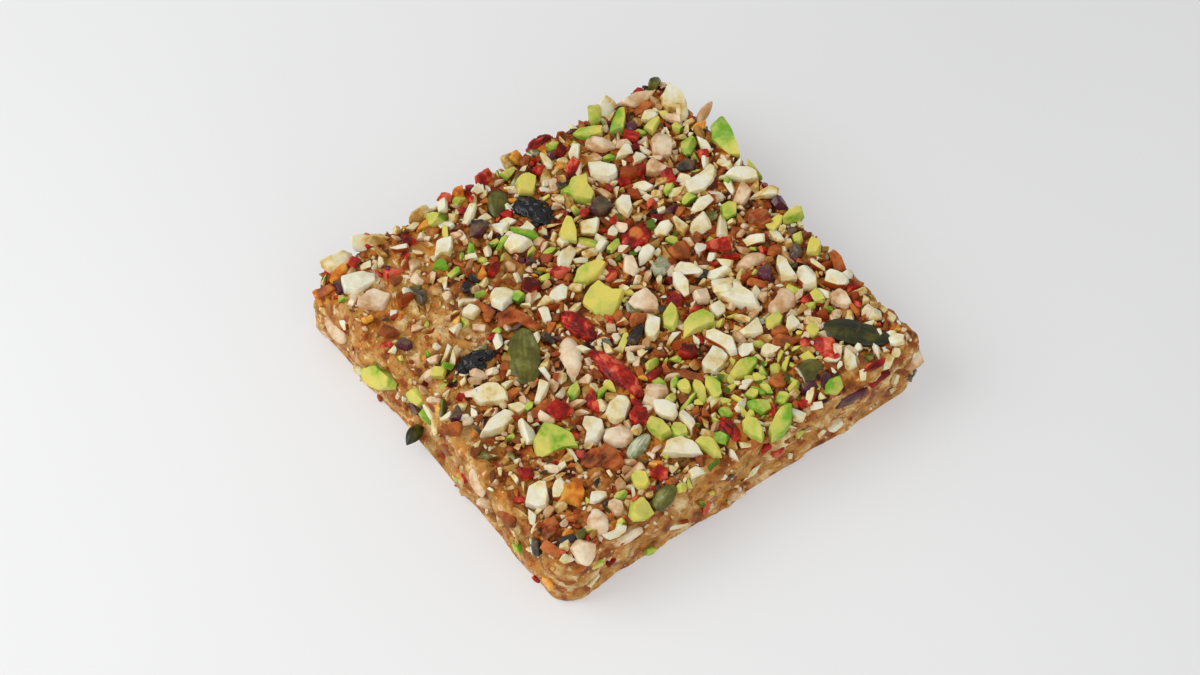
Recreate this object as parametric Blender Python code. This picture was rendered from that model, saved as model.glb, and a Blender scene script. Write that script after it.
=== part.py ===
"""A square granola bar: a pressed slab of fruit dough with seeds, berries and nut pieces set in its top.

Units are metres with +Z up. The origin is the middle of the flat underside. The dough is one solid.
Every topping as large as a berry is a solid of its own that sits in a shallow pocket in the dough.
"""
import math
from dataclasses import dataclass
from typing import Callable

import bmesh
import bpy
import numpy as np
from mathutils import Matrix, Vector

MM = 0.001

# The dough slab.
SLAB_LENGTH = 87.0 * MM
SLAB_WIDTH = 84.2 * MM
SLAB_HEIGHT = 15.0 * MM
SLAB_CENTRE = (-0.5 * MM, -0.3 * MM)
CORNER_RADIUS = 4.4 * MM
CREST_RADIUS = 2.5 * MM
FOOT_RADIUS = 1.0 * MM
SLICE_PITCH = 6.1 * MM

# The skin is pushed along lines that fan out from a core this far inside it.
CORE_DEPTH = 8 * MM

# Swells of the pressed surface: how far it rises and falls, and over what distance.
SWELL_HEIGHT = 0.42 * MM
SWELL_LENGTH = 19 * MM
SWELL_WAVES = 14
SWELL_SEED = 5

# Room left round a topping in its pocket, and how much wider a coarse pocket is cut so that it clears
# the finer topping inside it.
POCKET_GAP = 0.3 * MM
POCKET_SPREAD = 1.12
POCKET_SIDES = 8
POCKET_RINGS = 3

# Places where the slab is pushed out (+) or in (-): x, y, z, reach and push, in millimetres.
PUSHES = (
    (-43.0, 6.0, 15.0, 6.5, -3.4),
    (-44.0, 0.5, 3.0, 6.0, -1.3),
    (-44.0, 14.0, 1.5, 4.0, -0.9),
    (-44.0, 22.5, 5.0, 5.5, 1.1),
    (-44.0, 37.0, 6.0, 4.5, 0.9),
    (-43.0, 37.0, 15.0, 7.0, -1.6),
    (-44.0, -9.5, 3.0, 3.5, 0.8),
    (-44.0, -17.5, 8.0, 4.0, 1.3),
    (-43.5, -31.0, 4.0, 4.5, 0.8),
    (-43.0, -42.0, 12.0, 4.0, 0.7),
    (-39.5, -42.5, 12.5, 2.5, -0.9),
    (-22.0, -42.0, 4.0, 5.0, 0.8),
    (3.0, -42.0, 3.0, 5.0, -0.3),
    (15.0, -42.0, 2.0, 4.0, -0.5),
    (31.0, -42.0, 8.0, 7.0, 0.5),
    (41.0, -40.0, 9.0, 5.0, 0.5),
    (43.0, -15.0, 8.0, 5.0, -0.5),
    (43.0, 22.0, 9.0, 6.0, 0.7),
    (13.0, 41.5, 9.0, 6.0, 1.0),
    (-6.0, 41.5, 9.0, 5.0, -0.6),
    (-40.0, -32.0, 15.0, 6.0, -0.8),
    (-30.0, -12.0, 15.0, 5.0, -0.4),
    (-35.0, 16.0, 15.0, 8.0, 0.3),
    (20.0, 2.0, 15.0, 7.0, -0.4),
)


@dataclass(frozen=True)
class Kind:
    """One kind of topping: its shape and pocket, how far it stands above the dough, and its surface."""

    shape: Callable
    pocket: Callable
    thickness: float
    stand: float
    colour: tuple
    roughness: float


@dataclass(frozen=True)
class Spot:
    """Where one topping sits, in millimetres and degrees.

    Its length lies along `turn` from +X. `lean` tips its face from straight up towards the compass
    direction `facing`, so that a piece can lie against a side. `z` is the middle's height where the
    piece isn't on the level top.
    """

    x: float
    y: float
    length: float
    width: float
    turn: float
    z: float | None = None
    lean: float = 0.0
    facing: float = 180.0
    thick: float | None = None


def waves(points, length, count, seed):
    """Sum of `count` plane waves about `length` long in seeded directions, from about -1 to 1."""
    rng = np.random.RandomState(seed)
    ways = rng.normal(size=(count, 3))
    ways /= np.linalg.norm(ways, axis=1)[:, None]
    pace = 2 * math.pi / (length * rng.uniform(0.75, 1.5, count))
    phase = rng.uniform(0, 2 * math.pi, count)
    return np.sin(points @ (ways * pace[:, None]).T + phase).sum(axis=1) / math.sqrt(count)


def material(name, colour, roughness):
    """A plain Principled material."""
    made = bpy.data.materials.new(name)
    made.use_nodes = True
    shader = made.node_tree.nodes["Principled BSDF"]
    shader.inputs["Base Color"].default_value = (*colour, 1)
    shader.inputs["Roughness"].default_value = roughness
    shader.inputs["Metallic"].default_value = 0.0
    return made


def add_object(name, bm, surface=None):
    """Turns a finished bmesh into an object in the scene."""
    bmesh.ops.recalc_face_normals(bm, faces=bm.faces)
    mesh = bpy.data.meshes.new(name)
    bm.to_mesh(mesh)
    bm.free()
    made = bpy.data.objects.new(name, mesh)
    bpy.context.scene.collection.objects.link(made)
    if surface:
        mesh.materials.append(surface)
        mesh.shade_smooth()
        mesh.set_sharp_from_angle(angle=math.radians(38))
    return made


def round_edges(bm, radius, segments, chosen):
    """Rounds the edges that `chosen` picks."""
    edges = [e for e in bm.edges if chosen(e)]
    bmesh.ops.bevel(bm, geom=edges, offset=radius, segments=segments, profile=0.5, affect="EDGES")


def slice_across(bm, axis, low, high):
    """Cuts the skin with evenly spaced planes across one axis."""
    normal = Vector([1.0 if i == axis else 0.0 for i in range(3)])
    count = max(1, round((high - low) / SLICE_PITCH))
    for i in range(count + 1):
        place = normal * (low + (high - low) * i / count)
        geometry = bm.verts[:] + bm.edges[:] + bm.faces[:]
        bmesh.ops.bisect_plane(bm, geom=geometry, plane_co=place, plane_no=normal, dist=1e-6)


def outward(points):
    """The way each point of the skin is pushed: away from the core box, so level on the sides and
    straight up on the top, with an even turn between them."""
    middle = np.array((*SLAB_CENTRE, 0))
    reach = np.array((SLAB_LENGTH / 2 - CORE_DEPTH, SLAB_WIDTH / 2 - CORE_DEPTH, SLAB_HEIGHT - CORE_DEPTH))
    core = middle + np.clip(points - middle, -reach, reach)
    ways = points - core
    return ways / np.linalg.norm(ways, axis=1)[:, None]


def rise(points):
    """How far the swells and the pushes move the skin outward at some points of the plain slab."""
    move = SWELL_HEIGHT * waves(points, SWELL_LENGTH, SWELL_WAVES, SWELL_SEED)
    for x, y, z, reach, push in PUSHES:
        distance = np.linalg.norm(points - np.array((x, y, z)) * MM, axis=1) / (reach * MM)
        move += push * MM * np.exp(-(distance**2))
    return move


def press(bm):
    """Pushes the skin uneven. The flat foot stays."""
    skin = [v for v in bm.verts if v.co.z > FOOT_RADIUS / 4]
    points = np.array([v.co for v in skin])
    moved = points + outward(points) * rise(points)[:, None]
    for vert, place in zip(skin, moved):
        vert.co = place


def dough_slab():
    """The dough: a box with rounded corners and edges, sliced into small fields and pressed uneven."""
    bm = bmesh.new()
    bmesh.ops.create_cube(bm, size=1)
    half = Vector((SLAB_LENGTH, SLAB_WIDTH, SLAB_HEIGHT)) / 2
    middle = Vector((*SLAB_CENTRE, half.z))
    bmesh.ops.scale(bm, vec=half * 2, verts=bm.verts)
    bmesh.ops.translate(bm, vec=middle, verts=bm.verts)
    round_edges(bm, CORNER_RADIUS, 4, lambda e: abs(e.verts[0].co.z - e.verts[1].co.z) > half.z)
    round_edges(bm, CREST_RADIUS, 3, lambda e: min(v.co.z for v in e.verts) > SLAB_HEIGHT * 0.99)
    round_edges(bm, FOOT_RADIUS, 1, lambda e: max(v.co.z for v in e.verts) < SLAB_HEIGHT * 0.01)
    for axis in (0, 1):
        reach = half[axis] - CORNER_RADIUS
        slice_across(bm, axis, middle[axis] - reach, middle[axis] + reach)
    slice_across(bm, 2, FOOT_RADIUS + MM, SLAB_HEIGHT - CREST_RADIUS - MM)
    press(bm)
    foot = [f for f in bm.faces if f.normal.z < -0.99 and max(v.co.z for v in f.verts) < FOOT_RADIUS / 4]
    bmesh.ops.dissolve_faces(bm, faces=foot)
    bmesh.ops.triangulate(bm, faces=bm.faces)
    return bm


def spindle(profile, length, width, thick, rings, sides, crinkle=0.0, seed=0):
    """A closed body along X: ellipses whose size follows `profile` from one tip to the other.

    `profile` gives the share of the full width at a place from 0 to 1 along the body. The surface is
    drawn in by up to `crinkle` of its size where seeded waves say so, as on a dried berry.
    """
    along = 0.5 - 0.5 * np.cos(np.pi * np.arange(1, rings + 1) / (rings + 1))
    turn = 2 * np.pi * (np.arange(sides) + 0.5) / sides
    share = np.array([profile(t) for t in along])
    x = np.repeat((along - 0.5) * length, sides)
    y = np.outer(share, np.cos(turn)).ravel() * width / 2
    z = np.outer(share, np.sin(turn)).ravel() * thick / 2
    points = np.column_stack((x, y, z))
    if crinkle:
        dip = 1 - crinkle * (0.5 + 0.5 * waves(points, width * 0.55, 10, seed))
        points[:, 1:] *= dip[:, None]
    bm = bmesh.new()
    ring = [bm.verts.new(p) for p in points]
    tips = [bm.verts.new((side * length / 2, 0, 0)) for side in (-1, 1)]
    for i in range(sides):
        after = (i + 1) % sides
        bm.faces.new((tips[0], ring[i], ring[after]))
        last = (rings - 1) * sides
        bm.faces.new((tips[1], ring[last + after], ring[last + i]))
        for r in range(rings - 1):
            corners = (r * sides + i, (r + 1) * sides + i, (r + 1) * sides + after, r * sides + after)
            bm.faces.new([ring[c] for c in corners])
    return bm


def seed_profile(t):
    """A flat seed: broad behind the middle and drawn to a point at the far end."""
    return math.sin(math.pi * t**0.86) ** 0.72 * (1.04 - 0.22 * t)


def kernel_profile(t):
    """A blunt kernel, a little slimmer at the far end."""
    return math.sin(math.pi * t**0.9) ** 0.6 * (1.03 - 0.18 * t)


def spindle_profile(t):
    """A long dried berry with two narrow ends."""
    return math.sin(math.pi * t) ** 0.8


def ball_profile(t):
    """A round berry."""
    return math.sin(math.pi * t) ** 0.55


def pumpkin_seed(length, width, thick, seed):
    """A flat pumpkin seed."""
    return spindle(seed_profile, length, width, thick, 6, 10)


def kernel(length, width, thick, seed):
    """A smooth sunflower kernel or a whole small nut."""
    return spindle(kernel_profile, length, width, thick, 4, 10)


def goji_berry(length, width, thick, seed):
    """A long dried berry, crinkled."""
    return spindle(spindle_profile, length, width, thick, 6, 10, 0.3, seed)


def round_berry(length, width, thick, seed):
    """A small round dried berry, crinkled."""
    return spindle(ball_profile, length, width, thick, 5, 10, 0.3, seed)


def nut_chip(length, width, thick, seed, corners=7):
    """A cut piece of nut: a rough many-cornered plate whose upper and lower faces are smaller than its
    middle and tipped a little."""
    rng = np.random.RandomState(seed)
    turn = 2 * np.pi * (np.arange(corners) + rng.uniform(-0.28, 0.28, corners)) / corners
    reach = rng.uniform(0.86, 1.0, corners)
    outline = np.column_stack((np.cos(turn), np.sin(turn))) * reach[:, None]
    outline = (outline - (outline.max(axis=0) + outline.min(axis=0)) / 2) / np.ptp(outline, axis=0)
    outline *= (length, width)
    tip = rng.uniform(-0.12, 0.12, 2)
    bm = bmesh.new()
    layers = []
    for share, level in ((0.72, -0.5), (1.0, -0.12), (0.97, 0.2), (0.74, 0.5)):
        place = outline * share
        lift = thick * (level + place @ tip / max(length, width) * 2 * abs(level))
        layers.append([bm.verts.new((*p, z)) for p, z in zip(place, lift)])
    for below, above in zip(layers, layers[1:]):
        for i in range(corners):
            after = (i + 1) % corners
            bm.faces.new((below[i], below[after], above[after], above[i]))
    bm.faces.new(layers[0][::-1])
    bm.faces.new(layers[-1])
    return bm


def round_pocket(length, width, thick, seed):
    """The room for a rounded topping: a coarse ball-ended body a little larger than it."""
    sizes = [size * POCKET_SPREAD + 2 * POCKET_GAP for size in (length, width, thick)]
    return spindle(ball_profile, *sizes, POCKET_RINGS, POCKET_SIDES)


def chip_pocket(length, width, thick, seed):
    """The room for a nut chip: the same chip, a little larger all round."""
    return nut_chip(*[size + 3 * POCKET_GAP for size in (length, width, thick)], seed)


KINDS = {
    "pumpkin_seed": Kind(pumpkin_seed, round_pocket, 2.6, 1.7, (0.085, 0.095, 0.03), 0.45),
    "goji_berry": Kind(goji_berry, round_pocket, 4.4, 2.2, (0.42, 0.03, 0.025), 0.4),
    "blueberry": Kind(round_berry, round_pocket, 4.6, 2.1, (0.012, 0.013, 0.022), 0.4),
    "pistachio": Kind(nut_chip, chip_pocket, 4.0, 1.8, (0.42, 0.5, 0.12), 0.55),
    "almond": Kind(nut_chip, chip_pocket, 3.2, 1.6, (0.78, 0.7, 0.48), 0.5),
    "sunflower_kernel": Kind(kernel, round_pocket, 3.6, 1.6, (0.6, 0.42, 0.28), 0.5),
    "almond_skin": Kind(nut_chip, chip_pocket, 3.2, 1.4, (0.28, 0.085, 0.035), 0.6),
    "apricot": Kind(nut_chip, chip_pocket, 3.0, 1.5, (0.68, 0.25, 0.04), 0.4),
}

SPOTS = {
    "pumpkin_seed": (
        Spot(-21.5, 0.5, 13.7, 7.0, 237),
        Spot(33.3, -33.5, 13.5, 6.6, -50),
        Spot(20.2, -35.0, 6.8, 6.2, -10, thick=3.4),
        Spot(-19.2, -41.2, 6.6, 4.2, 20),
        Spot(-3.6, 34.2, 6.8, 4.8, 50),
        Spot(-16.2, -29.3, 6.6, 3.9, 20),
        Spot(-44.6, 5.0, 6.4, 3.4, 205, z=4.2, thick=1.8),
    ),
    "goji_berry": (
        Spot(-9.5, -13.0, 14.5, 6.0, -84),
        Spot(-8.5, 0.3, 9.4, 5.2, -80),
        Spot(13.6, 11.5, 7.0, 6.2, 10),
        Spot(10.0, -6.6, 6.2, 4.8, 70),
        Spot(-0.3, -36.4, 6.8, 4.3, 85),
        Spot(12.3, 41.9, 6.6, 3.8, 8, z=14.6, lean=20, facing=90, thick=3.2),
    ),
    "blueberry": (
        Spot(1.2, 28.3, 9.4, 8.0, 100, thick=5.2),
        Spot(-29.3, 5.2, 8.3, 5.4, -5),
    ),
    "pistachio": (
        Spot(-29.6, -18.2, 9.4, 7.8, 20),
        Spot(-1.2, 2.6, 9.2, 8.4, 55),
        Spot(0.3, 9.4, 8.3, 3.9, 2),
        Spot(11.0, 27.0, 7.0, 6.2, 60),
        Spot(42.0, 19.5, 9.6, 4.8, 80, z=14.2, lean=25, facing=0, thick=3.4),
        Spot(21.0, 37.9, 7.4, 3.8, -30),
        Spot(28.3, 36.6, 7.0, 4.2, 32),
        Spot(9.3, -41.0, 9.6, 3.8, 33),
        Spot(10.0, -13.2, 8.2, 4.2, 18),
        Spot(11.0, -26.8, 7.6, 3.3, 15),
        Spot(-11.2, -28.3, 6.8, 3.2, 93),
        Spot(-44.3, 17.0, 9.2, 5.4, 112, z=9.6, lean=50, facing=180, thick=3.4),
    ),
    "almond": (
        Spot(-37.0, 34.3, 8.6, 4.6, -8),
        Spot(-32.0, -3.2, 6.6, 6.4, 30),
        Spot(-35.0, -9.3, 9.2, 3.1, 8),
        Spot(33.0, 14.3, 9.2, 4.8, 15),
        Spot(8.3, -21.4, 8.4, 4.8, 35),
        Spot(-14.3, -20.2, 6.8, 4.2, 35),
        Spot(-38.0, -26.7, 6.8, 6.2, 45),
        Spot(-10.8, -35.2, 8.0, 5.2, -40),
        Spot(34.0, -17.4, 7.6, 4.2, 62),
        Spot(17.8, 28.0, 6.8, 5.2, -60),
        Spot(-20.6, -20.2, 7.4, 4.4, 60),
        Spot(-18.8, 30.4, 7.6, 4.2, 42),
        Spot(16.4, 18.9, 6.6, 4.6, 85),
        Spot(20.8, -13.2, 6.6, 6.0, 80),
        Spot(40.2, 34.8, 6.6, 5.6, 70),
    ),
    "sunflower_kernel": (
        Spot(-37.0, 28.4, 7.6, 5.6, 150),
        Spot(-14.4, -5.1, 11.0, 5.4, 240),
        Spot(26.3, -18.8, 8.2, 6.4, 205),
        Spot(31.5, 27.1, 7.2, 5.2, 65),
        Spot(28.0, -7.3, 6.8, 4.2, -10),
        Spot(5.3, -3.0, 6.6, 5.2, -55),
        Spot(-32.4, -38.0, 6.8, 5.6, 70),
        Spot(44.3, 28.6, 6.6, 2.6, 25, z=14.4, thick=2.0),
        Spot(-43.7, -15.6, 6.8, 4.6, 60, z=12.0, lean=38, facing=180, thick=2.8),
        Spot(-44.4, 32.0, 7.4, 4.6, 90, z=8.6, lean=62, facing=180, thick=2.8),
    ),
    "almond_skin": (
        Spot(-24.0, -28.0, 9.2, 5.0, -35),
        Spot(-17.2, 9.6, 6.6, 5.4, 20),
        Spot(-41.4, -34.3, 7.0, 4.6, 40, z=13.6, lean=14, facing=200),
        Spot(35.2, -0.7, 6.6, 5.0, 60),
    ),
    "apricot": (Spot(-32.4, -30.8, 8.4, 4.2, 30),),
}


def placing(spot, thick, stand):
    """The matrix that carries a topping from its own frame to its place on the bar."""
    place = Vector((spot.x, spot.y, spot.z or 0.0)) * MM
    if spot.z is None:
        crest = np.array([(place.x, place.y, SLAB_HEIGHT)])
        place.z = SLAB_HEIGHT + rise(crest)[0] + (stand - thick / 2) * MM
    facing = Matrix.Rotation(math.radians(spot.facing), 4, "Z")
    lean = Matrix.Rotation(math.radians(spot.lean), 4, "Y")
    turn = Matrix.Rotation(math.radians(spot.turn), 4, "Z")
    return Matrix.Translation(place) @ facing @ lean @ facing.inverted() @ turn


def add_toppings(cutters):
    """Makes every topping and, in `cutters`, the body that cuts its pocket."""
    for name, kind in KINDS.items():
        surface = material(name, kind.colour, kind.roughness)
        for number, spot in enumerate(SPOTS[name], 1):
            thick = spot.thick or kind.thickness
            sizes = [size * MM for size in (spot.length, spot.width, thick)]
            place = placing(spot, thick, kind.stand)
            topping = add_object(f"{name}_{number}", kind.shape(*sizes, seed=7 * number), surface)
            topping.matrix_world = place
            cutter = add_object(f"pocket_{name}_{number}", kind.pocket(*sizes, seed=7 * number))
            cutter.matrix_world = place
            cutter.hide_render = True
            cutter.display_type = "WIRE"
            bpy.context.scene.collection.objects.unlink(cutter)
            cutters.objects.link(cutter)


def main():
    """Clears the scene and builds the bar."""
    for old in list(bpy.data.objects):
        bpy.data.objects.remove(old)
    cutters = bpy.data.collections.new("pockets")
    bpy.context.scene.collection.children.link(cutters)
    add_toppings(cutters)
    dough = add_object("dough", dough_slab(), material("dough", (0.45, 0.22, 0.08), 0.5))
    cut = dough.modifiers.new("pockets", "BOOLEAN")
    cut.operation = "DIFFERENCE"
    cut.solver = "EXACT"
    cut.operand_type = "COLLECTION"
    cut.collection = cutters


main()
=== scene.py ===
"""Looks of a square granola bar: sticky fruit dough set with seeds, dried berries and chopped nuts.

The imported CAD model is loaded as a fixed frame. The dough gets a fine uneven skin on the same form as
the CAD slab, each large topping gets a detailed body in the place of its CAD node, and smaller chips,
flakes and crumbs are laid between them. Lengths are in millimetres until a mesh is made.
"""
import logging  # noqa: E402
import math  # noqa: E402
from dataclasses import dataclass, field, replace  # noqa: E402
from enum import Enum  # noqa: E402
from itertools import product  # noqa: E402

import bpy  # noqa: E402
import numpy as np  # noqa: E402
from mathutils import Euler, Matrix, Vector  # noqa: E402


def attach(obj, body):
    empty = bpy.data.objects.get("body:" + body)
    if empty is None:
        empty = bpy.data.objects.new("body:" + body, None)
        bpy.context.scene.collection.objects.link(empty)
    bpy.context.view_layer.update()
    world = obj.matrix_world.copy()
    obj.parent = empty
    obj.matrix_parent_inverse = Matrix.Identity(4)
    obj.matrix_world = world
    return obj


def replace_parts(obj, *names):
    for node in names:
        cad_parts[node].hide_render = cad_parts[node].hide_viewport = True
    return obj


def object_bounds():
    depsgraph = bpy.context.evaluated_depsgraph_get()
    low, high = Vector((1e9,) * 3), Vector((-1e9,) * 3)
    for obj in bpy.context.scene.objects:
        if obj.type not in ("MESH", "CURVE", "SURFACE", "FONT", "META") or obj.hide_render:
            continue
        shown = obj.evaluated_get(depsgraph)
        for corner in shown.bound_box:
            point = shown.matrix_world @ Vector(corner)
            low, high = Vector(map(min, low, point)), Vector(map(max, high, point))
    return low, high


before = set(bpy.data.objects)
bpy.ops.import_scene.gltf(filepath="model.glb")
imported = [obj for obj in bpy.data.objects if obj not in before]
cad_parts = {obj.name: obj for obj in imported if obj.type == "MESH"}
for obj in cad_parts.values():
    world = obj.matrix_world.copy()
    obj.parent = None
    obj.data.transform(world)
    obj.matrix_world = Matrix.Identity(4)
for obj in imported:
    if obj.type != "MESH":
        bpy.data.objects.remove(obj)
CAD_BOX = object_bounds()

logging.basicConfig(level=logging.INFO, format="%(message)s")
log = logging.getLogger("granola_bar")

MM = 0.001
BODY = "root"
Colour = tuple[int, int, int]
Rows = tuple[tuple[float, ...], ...]
Array = np.ndarray
Socket = bpy.types.NodeSocket

# Seeds of the random draws. Each kind adds its own number to those of the chips, slices and crumbs.
CHIP_SEED = 100
CRUMB_SEED = 200
CRUMB_SHAPE_SEED = 300
SLICE_SEED = 400
CHOICE_SEED = 9


# ---- Noise, worked out for whole arrays of points ----


def hashed(cells: Array, seed: int) -> Array:
    """A repeatable value from 0 to 1 for each whole-number cell, from mixing its coordinates.

    Args:
        cells: whole-number triples in the last axis.
        seed: picks another set of values.

    Returns:
        One value per cell.
    """
    c = cells.astype(np.int64)
    mixed = (c[..., 0] * 73856093) ^ (c[..., 1] * 19349663) ^ (c[..., 2] * 83492791) ^ (seed * 40503)
    mixed = ((mixed ^ (mixed >> 13)) * 1274126177) & 0xFFFFFFFF
    mixed = ((mixed ^ (mixed >> 15)) * 668265263) & 0xFFFFFFFF
    return ((mixed ^ (mixed >> 16)) & 0xFFFFFF) / 0xFFFFFF


def soft_noise(points: Array, size: float, seed: int) -> Array:
    """Smooth noise: cell corner values blended by an eased share of the way through each cell.

    Args:
        points: positions in the last axis.
        size: edge of a cell.
        seed: picks another pattern.

    Returns:
        Values from -1 to 1.
    """
    place = points / size + 0.37 * seed
    base = np.floor(place)
    share = place - base
    share = share**3 * (share * (share * 6 - 15) + 10)
    total = np.zeros(points.shape[:-1])
    for corner in product((0, 1), repeat=3):
        weight = np.where(np.array(corner) == 1, share, 1 - share).prod(axis=-1)
        total += weight * hashed(base + np.array(corner), seed)
    return 2 * total - 1


def fractal(points: Array, size: float, seed: int, octaves: int = 3) -> Array:
    """Smooth noise summed over octaves, each half the size and half the height of the one before."""
    return sum(soft_noise(points, size / 2**i, seed + i) / 2**i for i in range(octaves))


def nearest_grain(points: Array, size: float, seed: int) -> tuple[Array, Array]:
    """Distance to the nearest of one grain per cell, and that grain's own value.

    Args:
        points: positions in the last axis.
        size: edge of a cell.
        seed: picks another set of grains.

    Returns:
        Distance as a share of the cell, and the grain's value from 0 to 1.
    """
    place = points / size
    base = np.floor(place)
    best = np.full(points.shape[:-1], 9.0)
    value = np.zeros(points.shape[:-1])
    for step in product((-1, 0, 1), repeat=3):
        cell = base + np.array(step)
        grain = cell + np.stack([hashed(cell, seed + k) for k in range(3)], axis=-1)
        far = np.linalg.norm(place - grain, axis=-1)
        value = np.where(far < best, hashed(cell, seed + 7), value)
        best = np.minimum(best, far)
    return best, value


def waves(points: Array, length: float, count: int, seed: int) -> Array:
    """Sum of plane waves in seeded directions, as on the CAD slab.

    Args:
        points: one position per row.
        length: about the length of a wave.
        count: number of waves.
        seed: picks another set of waves.

    Returns:
        A value for each point, from about -1 to 1.
    """
    rng = np.random.RandomState(seed)
    ways = rng.normal(size=(count, 3))
    ways /= np.linalg.norm(ways, axis=1)[:, None]
    pace = 2 * math.pi / (length * rng.uniform(0.75, 1.5, count))
    phase = rng.uniform(0, 2 * math.pi, count)
    return np.sin(points @ (ways * pace[:, None]).T + phase).sum(axis=1) / math.sqrt(count)


def eased(value: Array, low: float, high: float) -> Array:
    """Rises smoothly from 0 at `low` to 1 at `high`."""
    share = np.clip((value - low) / (high - low), 0, 1)
    return share * share * (3 - 2 * share)


def from_middle(place: Array, x: float, y: float, turn: float) -> tuple[Array, Array]:
    """Turns places into a piece's own directions.

    Args:
        place: x and y of each place, one per row.
        x: x of the piece's middle.
        y: y of the piece's middle.
        turn: turn of its length in degrees.

    Returns:
        How far each place lies from the middle, along its length and across it.
    """
    cos, sin = math.cos(math.radians(turn)), math.sin(math.radians(turn))
    east, north = place[:, 0] - x, place[:, 1] - y
    return east * cos + north * sin, north * cos - east * sin


def fitted(outlines: Array) -> tuple[Array, Array, Array]:
    """Fits outlines into a unit square each, with their corners counted the same way round.

    Args:
        outlines: (pieces, corners, 2).

    Returns:
        Middles and sizes, (pieces, 2), and the fitted corners, (pieces, corners, 2).
    """
    low, high = outlines.min(axis=1), outlines.max(axis=1)
    middle, size = (low + high) / 2, high - low
    corners = (outlines - middle[:, None]) / size[:, None]
    x, y = corners[..., 0], corners[..., 1]
    area = (x * np.roll(y, -1, axis=1) - y * np.roll(x, -1, axis=1)).sum(axis=1)
    return middle, size, np.where(area[:, None, None] > 0, corners, corners[:, ::-1])


# ---- Meshes ----


@dataclass
class Skin:
    """Points in millimetres with the quads and triangles between them, and values carried at each point."""

    points: Array
    quads: Array
    tris: Array = field(default_factory=lambda: np.zeros((0, 3), int))
    values: dict[str, Array] = field(default_factory=dict)
    lie: Array | None = None

    def to_object(
        self, name: str, slot: str, material: bpy.types.Material, sharp: float = 0.0
    ) -> bpy.types.Object:
        """Makes the mesh, dresses it and lets it ride on the bar.

        Args:
            name: the piece's name.
            slot: not used.
            material: its finish.
            sharp: edges turned by more degrees than this stay crisp, if it isn't 0.

        Returns:
            The finished piece.
        """
        mesh = bpy.data.meshes.new(name)
        mesh.vertices.add(len(self.points))
        inside = np.clip(self.points * MM, *(np.array(corner) for corner in CAD_BOX))
        mesh.vertices.foreach_set("co", inside.astype(np.float32).ravel())
        corners = np.concatenate((self.tris.ravel(), self.quads.ravel()))
        starts = np.concatenate(
            (np.arange(len(self.tris)) * 3, len(self.tris) * 3 + np.arange(len(self.quads)) * 4)
        )
        mesh.loops.add(len(corners))
        mesh.loops.foreach_set("vertex_index", corners.astype(np.int32))
        mesh.polygons.add(len(starts))
        mesh.polygons.foreach_set("loop_start", starts.astype(np.int32))
        mesh.update(calc_edges=True)
        for key, value in self.values.items():
            mesh.attributes.new(key, "FLOAT", "POINT").data.foreach_set("value", value.astype(np.float32))
        if self.lie is not None:
            layer = mesh.uv_layers.new(name="lie")
            layer.data.foreach_set("uv", self.lie[corners].astype(np.float32).ravel())
        mesh.validate()
        mesh.shade_smooth()
        if sharp:
            mesh.set_sharp_from_angle(angle=math.radians(sharp))
        mesh.materials.append(material)
        made = bpy.data.objects.new(name, mesh)
        bpy.context.scene.collection.objects.link(made)
        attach(made, BODY)
        log.info("%s: %d points, %d faces", name, len(self.points), len(starts))
        return made


def box_lattice(counts: tuple[int, int, int]) -> tuple[Array, Array]:
    """Grid points on the six faces of a box and the quads between them.

    Each face is a grid over two of the axes. Points that faces share have one number, worked out from
    their place, so the skin is closed.

    Args:
        counts: fields along each axis.

    Returns:
        Whole-number triples, and quads that face outwards.
    """
    steps = (counts[1] + 1) * (counts[2] + 1), counts[2] + 1, 1
    faces = []
    for axis in range(3):
        u, v = (axis + 1) % 3, (axis + 2) % 3
        across, along = np.meshgrid(np.arange(counts[u] + 1), np.arange(counts[v] + 1), indexing="ij")
        for level in (0, counts[axis]):
            key = across * steps[u] + along * steps[v] + level * steps[axis]
            quad = np.stack((key[:-1, :-1], key[1:, :-1], key[1:, 1:], key[:-1, 1:]), axis=-1).reshape(-1, 4)
            faces.append(quad if level else quad[:, ::-1])
    keys, index = np.unique(np.concatenate(faces), return_inverse=True)
    triples = np.column_stack((keys // steps[0], keys % steps[0] // steps[1], keys % steps[1]))
    return triples, index.reshape(-1, 4)


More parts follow.
